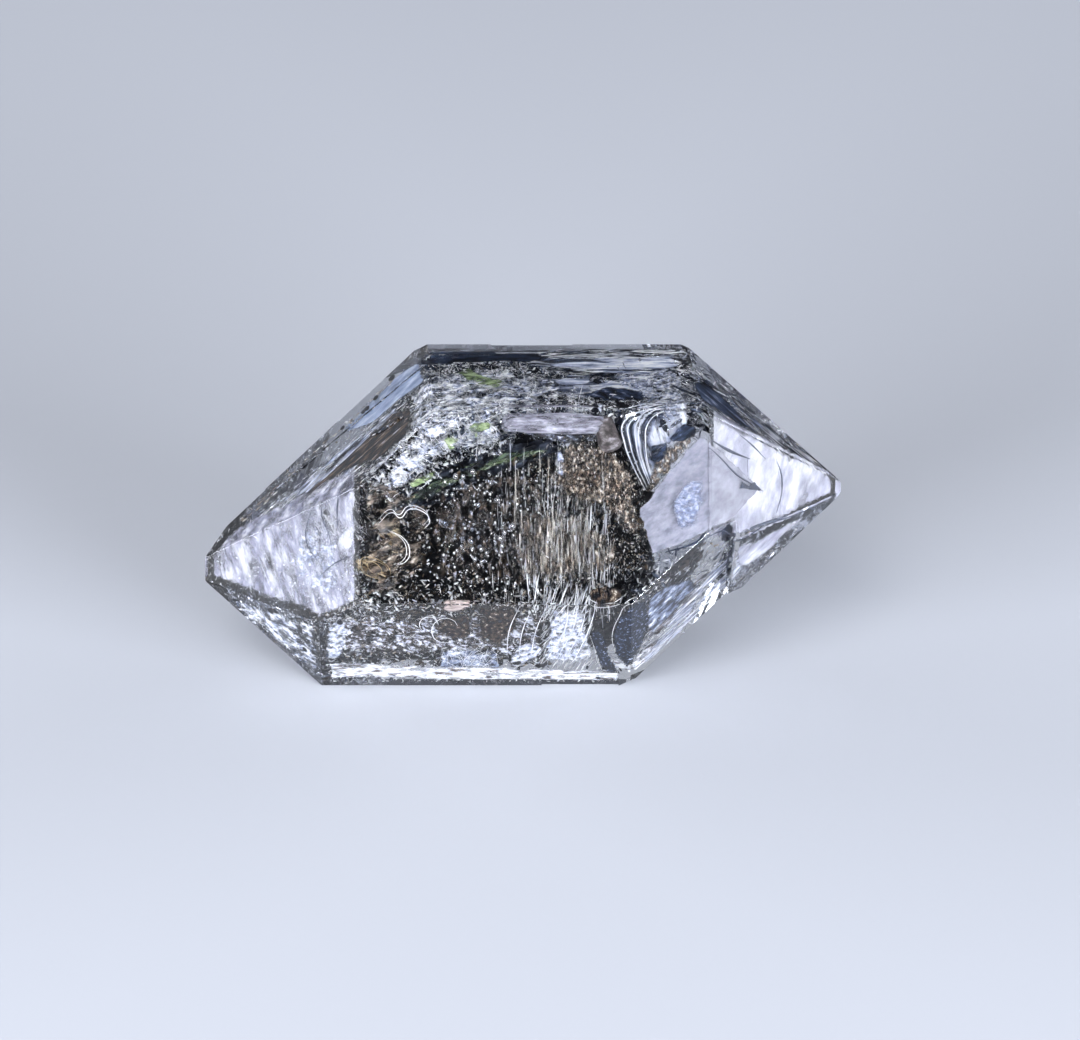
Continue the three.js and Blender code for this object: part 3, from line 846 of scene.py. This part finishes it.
TUBE_ENDS = [(-0.4, 3.35), (2.8, 3.25)]
TUBE_RADIUS = 0.37 * MM
BUBBLE_ENDS = [(3.1, 3.15), (3.2, 2.6)]
BUBBLE_RADIUS = 0.4 * MM
TUBE_SHADE = [(-0.3, 3.2), (2.9, 3.1), (2.9, 2.5), (1.6, 2.4), (0.0, 2.7)]
PALE_FLAME = [(1.05, 1.5), (1.2, 2.3), (1.45, 2.6), (1.7, 2.2), (1.75, 1.5), (1.5, 1.1)]
END_ROUND = 0.9  # of a rod, as a share of its radius
LUMP_SIZE = 0.6 * MM
LUMP_HEIGHT = 0.35  # as a share of the radius
tube_frost = film("tube_frost", [(0.38, (0.13, 0.12, 0.16)), (0.5, (0.4, 0.39, 0.47)),
                                 (0.62, (0.8, 0.8, 0.9))], (-0.2, 0.1, 0.8), (0.7, 0.16))
smoky = film("smoky_film", [(0.4, (0.03, 0.024, 0.022)), (0.52, (0.13, 0.11, 0.11)),
                            (0.64, (0.45, 0.42, 0.45))], (-0.6, -0.3, 0.9), (0.4, 0.25), Roughness=0.3)


def rod(name, ends, deep, radius, material):
    """An uneven rod with round ends, behind two places."""
    first, last = (inside(along, up, deep) for along, up in ends)
    turn = (last - first).to_track_quat("Z", "Y").to_euler()
    bpy.ops.object.select_all(action="DESELECT")
    bpy.ops.mesh.primitive_cylinder_add(vertices=20, radius=radius, depth=(last - first).length + 2 * radius,
                                        location=(first + last) / 2, rotation=turn)
    piece = bpy.context.object
    piece.name = name
    bpy.ops.object.mode_set(mode="EDIT")
    bpy.ops.mesh.select_all(action="DESELECT")
    shape = bmesh.from_edit_mesh(piece.data)
    for edge in shape.edges:
        edge.select_set(edge.calc_face_angle() > 1)
    bmesh.update_edit_mesh(piece.data)
    bpy.ops.mesh.bevel(offset=radius * END_ROUND, segments=6, affect="EDGES")
    bpy.ops.mesh.select_all(action="SELECT")
    bpy.ops.mesh.subdivide(number_cuts=2)
    bpy.ops.object.mode_set(mode="OBJECT")
    bpy.ops.object.transform_apply(location=True, rotation=True, scale=True)
    for vertex in piece.data.vertices:
        vertex.co += noise.noise_vector(vertex.co / LUMP_SIZE) * LUMP_HEIGHT * radius
    bpy.ops.object.shade_smooth()
    settle(piece, material)


rod("frosted_tube", TUBE_ENDS, 0.75, TUBE_RADIUS, tube_frost)
shade_film = film("tube_shade", [(0.44, INK), (0.52, (0.03, 0.03, 0.045)), (0.58, GREY), (0.66, WHITE)],
                  (0.3, 0.5, 0.95), (0.25, 0.12))
sheet("tube_shade", TUBE_SHADE, 1.0, shade_film, fade=0.25, cell=0.1, wave=0.05)
sheet("pale_flame", PALE_FLAME, 0.8, snow_film, fade=0.2, cell=0.06, wave=0.05)
rod("smoky_bubble", BUBBLE_ENDS, 0.85, BUBBLE_RADIUS, smoky)

# ---------------------------------------------------------------- curls at the left of the front face
# Thin healed cracks curl like shavings in the brown part at the left, white above and gold below.
# They are threads on two golden films.

gold = toned("gold_crack", [(0, (0.25, 0.16, 0.06)), (1, (0.9, 0.75, 0.5))], 1, 0.4, Metallic=0.4,
             Roughness=0.3)
CURL = [(-5.4, -0.3), (-4.9, 0.1), (-4.6, -0.1), (-4.3, 0.2), (-3.9, 0.2), (-3.5, -0.2), (-3.7, -0.5)]
RING = [(-4.9, -0.7), (-4.4, -1.0), (-4.2, -1.4), (-4.3, -1.8), (-4.7, -2.0)]
GOLD_CENTRE = (-5.5, -2.1)
GOLD_SPAN = (0.65, 0.35)


def loop(centre, span, tilt, count=9, share=1.0):
    """Places round an ellipse, or round a share of one. tilt is in degrees."""
    turns = np.linspace(0, 2 * np.pi * share, count, endpoint=share < 1)
    c, s = math.cos(math.radians(tilt)), math.sin(math.radians(tilt))
    across, over = span[0] * np.cos(turns), span[1] * np.sin(turns)
    return list(zip(centre[0] + across * c - over * s, centre[1] + across * s + over * c))


def shifted(route, along, up):
    """The same route, moved over."""
    return [(x + along, y + up) for x, y in route]


curls = [CURL, RING, shifted(RING, -0.12, 0.03), shifted(CURL, 0.05, -0.12)]
threads("white_curls", 66, curls, (0.02, 0.045), milky, 0.28, wave=0.05, tone=0.5)
gold_curls = [loop(GOLD_CENTRE, (size * GOLD_SPAN[0], size * GOLD_SPAN[1]), tilt, share=share)
              for size, tilt, share in ((1, -25, 0.85), (0.75, -12, 0.65), (0.5, -40, 0.8))]
threads("gold_curls", 67, gold_curls, (0.015, 0.035), gold, 0.3, wave=0.05, tone=0.4)
gold_film = film("gold_film", [(0.4, INK), (0.47, BROWN), (0.53, (0.24, 0.16, 0.075)),
                               (0.62, (0.75, 0.65, 0.45))], (0.4, 0.5, 0.9), (0.5, 0.12),
                 ALONG - UP_FRONT * 0.5, Metallic=0.2, Roughness=0.3)
sheet("gold_curl_film", loop(GOLD_CENTRE, (0.8, 0.6), -25, 17), 1.0, gold_film, fade=0.3, cell=0.06)
sheet("upper_curl_film", loop((-4.9, -1.0), (0.8, 0.9), 20, 17), 1.1, gold_film, fade=0.4, cell=0.08)

# ---------------------------------------------------------------- fans and lens-shaped voids, low down
# Low on the crystal white fans of fibres spread, and dark lens-shaped voids with bright rims lie
# between them. The bottom edge is bright with small cracks. They are flakes, threads and films.

LOW_FAN = [(0.9, -3.4), (2.5, -3.4), (2.7, -4.6), (3.0, -5.7), (1.4, -5.9), (0.5, -5.7)]
LOW_STRIP = [(-7.4, -5.5), (-0.9, -5.7), (3.7, -5.8), (3.7, -6.35), (-7.3, -6.3)]
RIGHT_LOW = [(4.4, -2.9), (6.7, -1.7), (8.2, -1.4), (8.5, -1.7), (6.8, -3.5), (4.9, -5.3), (4.1, -5.8)]
UP_RIGHT = ALONG * 0.7 + UP_FRONT * 0.7
flakes("low_fans", 70, 260, LOW_FAN, (0.4, 2.0), (0.4, 1.6), milky, broad=0.06,
       grain=UP_FRONT + ALONG * 0.35, stray=0.15)
flakes("bottom_crackle", 72, 900, LOW_STRIP, (0.2, 1.2), (0.04, 0.3), milky, clear=0.12)
flakes("bottom_dark", 74, 220, LOW_STRIP, (0.2, 1.0), (0.08, 0.5), shadow, clear=0.12, broad=0.4)
flakes("right_low_slate", 76, 500, RIGHT_LOW, (0.3, 2.5), (0.1, 0.7), slate, clump=0.7, broad=0.3)
flakes("right_low_white", 78, 1100, RIGHT_LOW, (0.3, 2.5), (0.04, 0.5), milky, clump=0.7, broad=0.2,
       grain=UP_RIGHT, stray=0.5)
bottom_film = film("bottom_film", [(0.36, INK), (0.42, TAN), (0.46, PALE), (0.5, WHITE)],
                   (0.38, 0.5, 0.95), (0.6, 0.22))
sheet("bottom_film", LOW_STRIP, 0.25, bottom_film, fade=0.15, cell=0.08, wave=0.02)

LOWER_RIGHT_EDGE = [(4.2, -5.9), (4.9, -5.2), (6.6, -3.4), (8.7, -1.3), (7.6, -1.3), (5.6, -3.6)]
WHITE_EDGE = [(4.4, -6.0), (5.0, -5.5), (6.8, -3.75), (8.6, -1.9), (8.0, -1.8), (6.0, -3.5), (4.5, -5.2)]
SLATE_PATCH = [(4.6, -3.1), (5.2, -2.7), (6.3, -2.3), (6.7, -2.7), (5.6, -3.9), (4.9, -4.7), (4.5, -4.2)]
edge_film = film("edge_film", [(0.38, NAVY), (0.44, GREY), (0.5, PALE), (0.56, WHITE)], (*HALF, 0.95),
                 (1.0, 0.12), ALONG * 0.72 + UP_FRONT * 0.7)
sheet("lower_right_edge_film", LOWER_RIGHT_EDGE, 0.3, edge_film, fade=0.2, cell=0.08, wave=0.03)
slate_film = film("slate_film", [(0.38, INK), (0.45, NAVY), (0.51, GREY), (0.57, (0.32, 0.38, 0.52)),
                                 (0.64, WHITE)], (0.3, 0.45, 0.95), (0.5, 0.3), UP_RIGHT)
sheet("slate_patch", SLATE_PATCH, 0.3, slate_film, fade=0.2, cell=0.08, wave=0.05)
sheet("white_edge_film", WHITE_EDGE, 0.15, edge_film, fade=0.15, cell=0.08, wave=0.02)
right_low_film = film("right_low_film", [(0.36, INK), (0.44, NAVY), (0.5, TAN), (0.56, PALE),
                                         (0.62, WHITE)], (*HALF, 0.9), (1.2, 0.18), UP_RIGHT, Roughness=0.35)
sheets("right_low_film", RIGHT_LOW, (0.5, 1.3), right_low_film, wave=0.3)

LOW_LEFT_FAN = [(-7.5, -4.0), (-6.5, -3.7), (-6.3, -4.6), (-6.7, -5.6), (-7.6, -5.7)]
LOW_RIGHT_SIDE = [(-0.5, -4.9), (0.6, -4.4), (1.0, -5.2), (0.4, -5.8), (-0.7, -5.8)]
BEIGE_LENS = loop((-2.45, -3.5), (0.55, 0.2), 12, 17)
LOW_DARKS = [[(-3.6, -4.2), (-2.8, -3.8), (-1.9, -3.7), (-1.8, -4.7), (-2.6, -4.9)],
             [(-1.7, -3.5), (-0.2, -3.5), (-0.1, -4.3), (-0.9, -5.1), (-1.7, -4.7)]]
LOW_CROSS = [(-3.2, -5.0), (-0.9, -5.0), (-0.7, -5.9), (-3.2, -5.9)]
dark_flecks = film("dark_flecks", [(0.46, INK), (0.54, BROWN), (0.6, UMBER), (0.66, IVORY)],
                   (0.3, 0.44, 0.95), (0.3, 0.16), UP_FRONT, Specular_IOR_Level=0.1)
fan_film = film("fan_film", [(0.38, GREY), (0.47, PALE), (0.57, WHITE)], (0.38, 0.54, 0.9), (1.4, 0.16),
                UP_FRONT + ALONG * 0.35)
beige = film("beige_film", [(0.4, (0.3, 0.24, 0.21)), (0.6, (0.7, 0.58, 0.54))], (0.1, 0.3, 0.9), (0.3, 0.1))
sheet("fan_film", LOW_FAN, 0.45, fan_film, fade=0.4, cell=0.1, wave=0.1)
for number, outline in enumerate((LOW_LEFT_FAN, LOW_RIGHT_SIDE)):
    sheet(f"low_white_film_{number}", outline, 0.4, fan_film, fade=0.3, cell=0.08, wave=0.08)
sheet("beige_lens", BEIGE_LENS, 0.4, beige, fade=0.12, cell=0.05, wave=0.02)
for number, outline in enumerate(LOW_DARKS):
    sheet(f"low_dark_{number}", outline, 0.3, dark_flecks, fade=0.2, cell=0.08, wave=0.05)
sheet("low_cross_film", LOW_CROSS, 0.35, slate_film, fade=0.2, cell=0.08, wave=0.05)
threads("low_cross", 85, strays(82, 70, LOW_CROSS, (0.3, 1.1), points=2), (0.015, 0.05), milky, 0.22,
        wave=0.05, tone=0.6)

LOW_CORNER = [(2.9, -5.0), (3.0, -5.95), (4.3, -6.0), (5.3, -5.1), (4.8, -4.6), (4.0, -5.6)]
VOIDS = [[(2.5, -4.5), (2.8, -4.35), (3.1, -4.7), (3.2, -5.2), (3.6, -5.9), (3.35, -6.1), (2.9, -5.7),
          (2.7, -5.1)],
         [(4.55, -3.3), (4.75, -4.0), (4.5, -4.9), (3.95, -5.8), (3.5, -5.3), (3.35, -4.6), (3.6, -3.9),
          (4.1, -3.4)],
         [(2.3, -3.1), (2.5, -2.8), (3.1, -2.65), (3.7, -2.8), (3.8, -3.1), (3.4, -3.5), (2.8, -3.55)]]
# Dark navy of the lens voids; its pale specks are painted highlights.
navy_with_painted_highlights = film("navy_with_painted_highlights", [(0.4, (0.002, 0.003, 0.005)), (0.54, (0.006, 0.01, 0.02)),
                                       (0.6, (0.08, 0.11, 0.2)), (0.66, PALE)], (0.05, 0.2, 1.0),
                     (0.2, 0.1), UP_FRONT, Roughness=0.5, Specular_IOR_Level=0)
sheet("low_corner_film", LOW_CORNER, 0.7, bottom_film, fade=0.15, cell=0.08, wave=0.05)
for number, (outline, material) in enumerate(zip(VOIDS, (navy_with_painted_highlights, navy_with_painted_highlights, dark_flecks))):
    sheet(f"lens_void_{number}", outline, 0.3, material, fade=0.15, cell=0.06, wave=0.05)
    threads(f"void_rim_{number}", 79 + number, [outline[4:] + outline[:1]], (0.02, 0.07), milky, 0.35,
            wave=0.03, tone=0.7)

LOW_CURLS = [loop((-2.9, -4.4), (0.5, 0.45), 20, share=0.8), loop((-3.5, -4.2), (0.35, 0.3), 0, share=0.6)]
FAN_RIBS = [[(1.7 + 0.35 * k, -3.3), (1.6 + 0.3 * k, -4.3), (0.9 + 0.35 * k, -5.5)] for k in range(4)]
LEFT_RIBS = [[(-0.1 + 0.5 * k, -3.5), (-0.5 + 0.5 * k, -4.4), (-0.6 + 0.45 * k, -5.4)] for k in range(3)]
threads("low_curls", 83, LOW_CURLS, (0.02, 0.05), milky, 0.25, wave=0.06, tone=0.6)
threads("fan_ribs", 84, FAN_RIBS + LEFT_RIBS, (0.025, 0.08), milky, 0.3, wave=0.12, tone=0.4)

# ---------------------------------------------------------------- streaks under the upper faces
# Dark, brown and silvery streaks run down the two upper end faces and along the top, each way
# following its face, and a haze lies under the right end's front faces. They are long flakes, with
# drawn-out films between.

UPPER_LEFT_FACE = [(-10.3, -0.3), (-7.3, 2.2), (-4.6, 4.3), (-4.4, 3.2), (-6.1, 1.3), (-8.4, 0.5)]
LEFT_DARK_BAND = [(-8.6, 0.4), (-7.2, 1.6), (-6.0, 2.7), (-4.9, 3.8), (-4.1, 3.9), (-4.3, 2.8), (-5.4, 1.9),
                  (-6.1, 1.75), (-7.1, 1.25), (-7.8, 0.8)]
LEFT_RIM = [(-10.7, -0.2), (-7.5, 2.7), (-4.7, 5.3), (-4.9, 4.9), (-7.7, 2.4), (-10.4, -0.3)]
UPPER_RIGHT_FACE = [(6.2, 5.4), (7.1, 4.9), (10.1, 2.8), (11.6, 1.5), (10.5, 2.0), (7.4, 3.6), (6.4, 4.5)]
NAVY_LENS = [(6.3, 4.85), (6.9, 5.0), (7.75, 4.25), (8.2, 3.6), (9.05, 2.85), (8.05, 3.3), (6.7, 4.15)]
TOP = [(-0.1, 6.1), (5.7, 6.2), (6.1, 5.4), (4.4, 4.9), (1.4, 5.3), (-0.6, 5.7)]
TOP_MIDDLE = [(0.6, 5.2), (4.8, 5.2), (5.4, 4.3), (4.4, 3.9), (1.4, 4.2), (0.2, 4.7)]
TOP_PALE = [(0.9, 4.85), (1.7, 5.35), (2.9, 5.25), (2.5, 4.7), (1.6, 4.6)]
TOP_DARK = [(1.9, 4.4), (3.2, 4.75), (4.5, 4.6), (4.6, 4.1), (3.0, 4.1)]
TOP_GREY = [(2.7, 4.8), (3.4, 5.3), (4.8, 5.1), (4.9, 4.6), (3.6, 4.75)]
DOWN_LEFT = ALONG * 0.8 + UP_FRONT * 0.6
DOWN_RIGHT = ALONG * 0.81 - UP_FRONT * 0.58
flakes("left_streaks", 85, 500, UPPER_LEFT_FACE, (0.3, 2.2), (0.08, 0.8), milky, clump=0.7, broad=0.12,
       grain=DOWN_LEFT, stray=0.12)
flakes("left_silver_streaks", 87, 200, UPPER_LEFT_FACE, (0.3, 2.2), (0.2, 1.2), silver, clump=0.7,
       broad=0.15, grain=DOWN_LEFT, stray=0.12)
flakes("left_dark_streaks", 89, 380, LEFT_DARK_BAND, (0.4, 2.2), (0.2, 1.6), bitumen, broad=0.15,
       grain=DOWN_LEFT, stray=0.12)
flakes("left_rim_stain", 93, 300, LEFT_RIM, (0.2, 0.8), (0.05, 0.4), stain, clear=0.1, broad=0.3,
       grain=DOWN_LEFT, stray=0.12)
flakes("right_dark_streaks", 95, 160, UPPER_RIGHT_FACE, (0.3, 2.5), (0.3, 2.0), shadow, clump=0.6,
       broad=0.15, grain=DOWN_RIGHT, stray=0.1)
flakes("right_pale_streaks", 97, 300, UPPER_RIGHT_FACE, (0.2, 1.8), (0.1, 1.4), milky, clump=0.6,
       broad=0.06, grain=DOWN_RIGHT, stray=0.1)
flakes("top_pale_streaks", 99, 260, TOP, (0.2, 1.6), (0.2, 1.8), milky, clump=0.6, clear=0.12,
       broad=0.06, grain=ALONG, stray=0.1)
flakes("top_dark_streaks", 101, 160, TOP, (0.4, 2.4), (0.3, 2.2), shadow, clump=0.6, clear=0.12,
       broad=0.15, grain=ALONG, stray=0.1)
pale_streaks = film("pale_streak_film", [(0.36, NAVY), (0.44, GREY), (0.52, PALE), (0.6, WHITE)],
                    (*HALF, 0.9), (1.6, 0.22), DOWN_LEFT, Roughness=0.35)
dark_streaks = film("dark_streak_film", [(0.47, INK), (0.54, BROWN), (0.6, TAN), (0.66, PALE)],
                    (0.26, 0.4, 0.97), (1.4, 0.16), DOWN_LEFT, Specular_IOR_Level=0.1)
navy_streaks = film("navy_streak_film", [(0.4, INK), (0.46, NAVY), (0.52, GREY), (0.6, PALE)],
                    (0.42, 0.5, 0.95), (2.2, 0.3), DOWN_RIGHT, Roughness=0.3)
lens_film = film("lens_film", [(0.44, INK), (0.54, NAVY), (0.6, SLATE), (0.68, PALE)],
                 (0.15, 0.3, 0.95), (1.2, 0.25), DOWN_RIGHT, Specular_IOR_Level=0.1)
top_streaks = film("top_streak_film", [(0.37, INK), (0.42, NAVY), (0.47, GREY), (0.52, PALE),
                                       (0.58, WHITE)], (0.36, 0.48, 0.9), (2.8, 0.32))
sheet("left_pale_film", UPPER_LEFT_FACE, 0.4, pale_streaks, fade=0.2, wave=0.1)
sheet("left_dark_film", LEFT_DARK_BAND, 0.25, dark_streaks, fade=0.12, cell=0.1, wave=0.05)
sheet("left_rim_film", LEFT_RIM, 0.15, umber_film, fade=0.1, cell=0.1, wave=0.02)
sheet("right_streak_film", UPPER_RIGHT_FACE, 0.5, navy_streaks, fade=0.3, wave=0.15)
sheet("navy_lens", NAVY_LENS, 0.25, lens_film, fade=0.12, cell=0.08, wave=0.03)
sheet("top_streak_film_0", TOP, 0.5, top_streaks, fade=0.3, wave=0.2)
sheet("top_streak_film_1", TOP_MIDDLE, 0.8, top_streaks, fade=0.3, wave=0.2)
top_lenses = [(TOP_PALE, top_streaks), (TOP_DARK, lens_film), (TOP_GREY, pale_streaks)]
for number, (outline, material) in enumerate(top_lenses):
    sheet(f"top_lens_{number}", outline, 0.45, material, fade=0.2, cell=0.08, wave=0.05)

RIGHT_FACE = [(7.0, -1.15), (8.9, -0.7), (11.7, 0.75), (11.7, 1.35), (11.2, 1.8), (7.0, 4.0)]
RIGHT_LOW_FACE = [(7.9, -1.2), (9.0, -0.8), (11.2, 0.35), (10.4, -0.4), (9.3, -1.4), (8.5, -2.0),
                  (7.95, -2.0)]
right_haze = film("right_haze_film", [(0.36, (0.3, 0.3, 0.39)), (0.5, (0.55, 0.55, 0.66)),
                                      (0.62, (0.95, 0.95, 1.0))], (0.25, 0.55, 0.85), (2.0, 0.7),
                  ALONG * 0.5 + UP_FRONT, Roughness=0.45)
sheet("right_haze_film", RIGHT_FACE, 0.6, right_haze, fade=0.15, wave=0.15)
sheet("right_low_haze_film", RIGHT_LOW_FACE, 0.25, right_haze, fade=0.15, cell=0.1, wave=0.03)

# ---------------------------------------------------------------- cracks in the ends
# Fine open cracks, dark along their length, cross the clear right end and the clouded left one. Two
# flakes of slate hang between those at the right. The cracks are threads and the flakes films.

RIGHT_CRACKS = [
    [(6.9, 2.4), (7.4, 2.0), (8.0, 1.4), (8.5, 1.1), (9.0, 0.8)],
    [(7.0, 2.7), (7.7, 2.3), (8.5, 2.0)],
    [(8.1, 2.9), (8.6, 2.5), (9.1, 2.0)],
    [(8.4, 1.5), (8.4, 2.0)],
    [(5.3, -1.5), (6.3, -1.2), (7.4, -0.7), (7.9, -0.8), (9.0, -0.4), (10.1, -0.1), (11.2, 0.4)],
    [(7.9, -1.2), (7.8, -1.4), (7.7, -1.7), (7.7, -2.4)],
    [(9.5, 2.0), (9.7, 1.4), (9.7, 0.8), (9.5, 0.0)],
]
LEFT_CRACKS = [
    [(-7.9, 0.1), (-8.1, -1.0), (-7.5, -2.0)],
    [(-7.3, 0.8), (-7.5, -0.1), (-7.2, -0.9), (-7.1, -1.6)],
    [(-6.6, 1.2), (-6.9, 0.3), (-6.9, -0.6)],
    [(-6.3, -1.6), (-7.0, -1.9), (-7.6, -2.4)],
]
LEFT_VEIL = [[(-10.8, -1.1), (-10.0, -1.7), (-9.4, -2.9)], [(-10.4, -0.9), (-9.9, -1.2), (-9.5, -1.8)]]
SLATE_FLAKE = [(7.4, -1.0), (7.6, -1.1), (7.8, -1.0), (7.85, -0.6), (7.7, -0.35), (7.4, -0.75)]
WEDGE_FLAKE = [(8.1, 0.9), (8.2, 1.15), (8.45, 1.0), (8.65, 1.15), (8.95, 0.82), (8.5, 0.87)]
crack = toned("open_crack", [(0, (0.02, 0.025, 0.04)), (1, (0.05, 0.06, 0.09))], Roughness=0.6,
              Specular_IOR_Level=0)
threads("right_cracks", 107, RIGHT_CRACKS, (0.06, 0.14), crack, 0.2, wave=0.03)
threads("left_cracks", 106, LEFT_CRACKS, (0.03, 0.08), crack, 0.25, wave=0.05)
threads("left_veil", 108, LEFT_VEIL, (0.015, 0.03), milky, 0.4, wave=0.05, tone=1)
sheet("slate_flake", SLATE_FLAKE, 0.2, navy_film, fade=0.05, cell=0.05, wave=0.02)
sheet("wedge_flake", WEDGE_FLAKE, 0.2, navy_film, fade=0.03, cell=0.04, wave=0.02)

# ---------------------------------------------------------------- carbon specks
# Round black specks of carbon lie just under the end faces. All of them are one mesh.

SPECKS = [(-4.94, 5.13), (-5.54, 4.38), (-5.88, 3.96), (-6.0, 3.85), (-6.79, 3.25), (-8.22, 1.81),
          (-9.28, 0.68), (-9.46, -3.66), (-9.27, -3.66), (-6.82, -4.11), (-7.8, -4.57), (-8.2, -5.1)]
SPECK_DEPTH = 0.22
carbon = toned("carbon", [(0, (0.004, 0.004, 0.005)), (1, (0.012, 0.012, 0.016))], Roughness=0.6,
               Specular_IOR_Level=0)
bubbles("carbon_specks", 110, [inside(*place, SPECK_DEPTH) for place in SPECKS], (0.1, 0.17), carbon)

# ---------------------------------------------------------------- crackle behind the middle
# The side turned away has its own sparse crackle and stain behind the bitumen, and a film across
# them. They are made like those in front.

BEHIND = [(-6.0, 2.0), (4.8, 3.2), (6.0, 0.5), (4.6, -3.2), (-5.8, -3.2)]
BEHIND_ENDS = [[(-9.5, 0.0), (-6.2, 1.5), (-6.2, -3.0), (-8.8, -2.8)],
               [(6.0, 2.8), (9.5, 1.5), (8.5, -1.0), (5.5, -2.0)]]
BACK_SHEET = [(-4.6, 2.2), (4.0, 2.8), (4.2, -2.8), (-4.6, -2.8)]
flakes("back_crackle", 112, 2600, BEHIND, (6.6, 9.3), (0.05, 0.7), milky, clump=0.8, broad=0.35)
flakes("back_silver", 114, 700, BEHIND, (6.6, 9.3), (0.1, 0.9), silver, clump=0.8, broad=0.3)
flakes("back_stain", 116, 1400, BEHIND, (6.4, 9.0), (0.05, 0.5), stain, clump=0.9, broad=0.4)
back_film = film("back_film", [(0.4, INK), (0.46, UMBER), (0.5, PALE), (0.56, WHITE)], (*HALF, 0.9),
                 (0.6, 0.3))
sheet("back_film", BACK_SHEET, 8.6, back_film, wave=0.4)
for number, outline in enumerate(BEHIND_ENDS):
    flakes(f"back_end_{number}", 118 + number, 220, outline, (3.5, 8.0), (0.03, 0.3), milky, clump=0.8,
           broad=0.2)
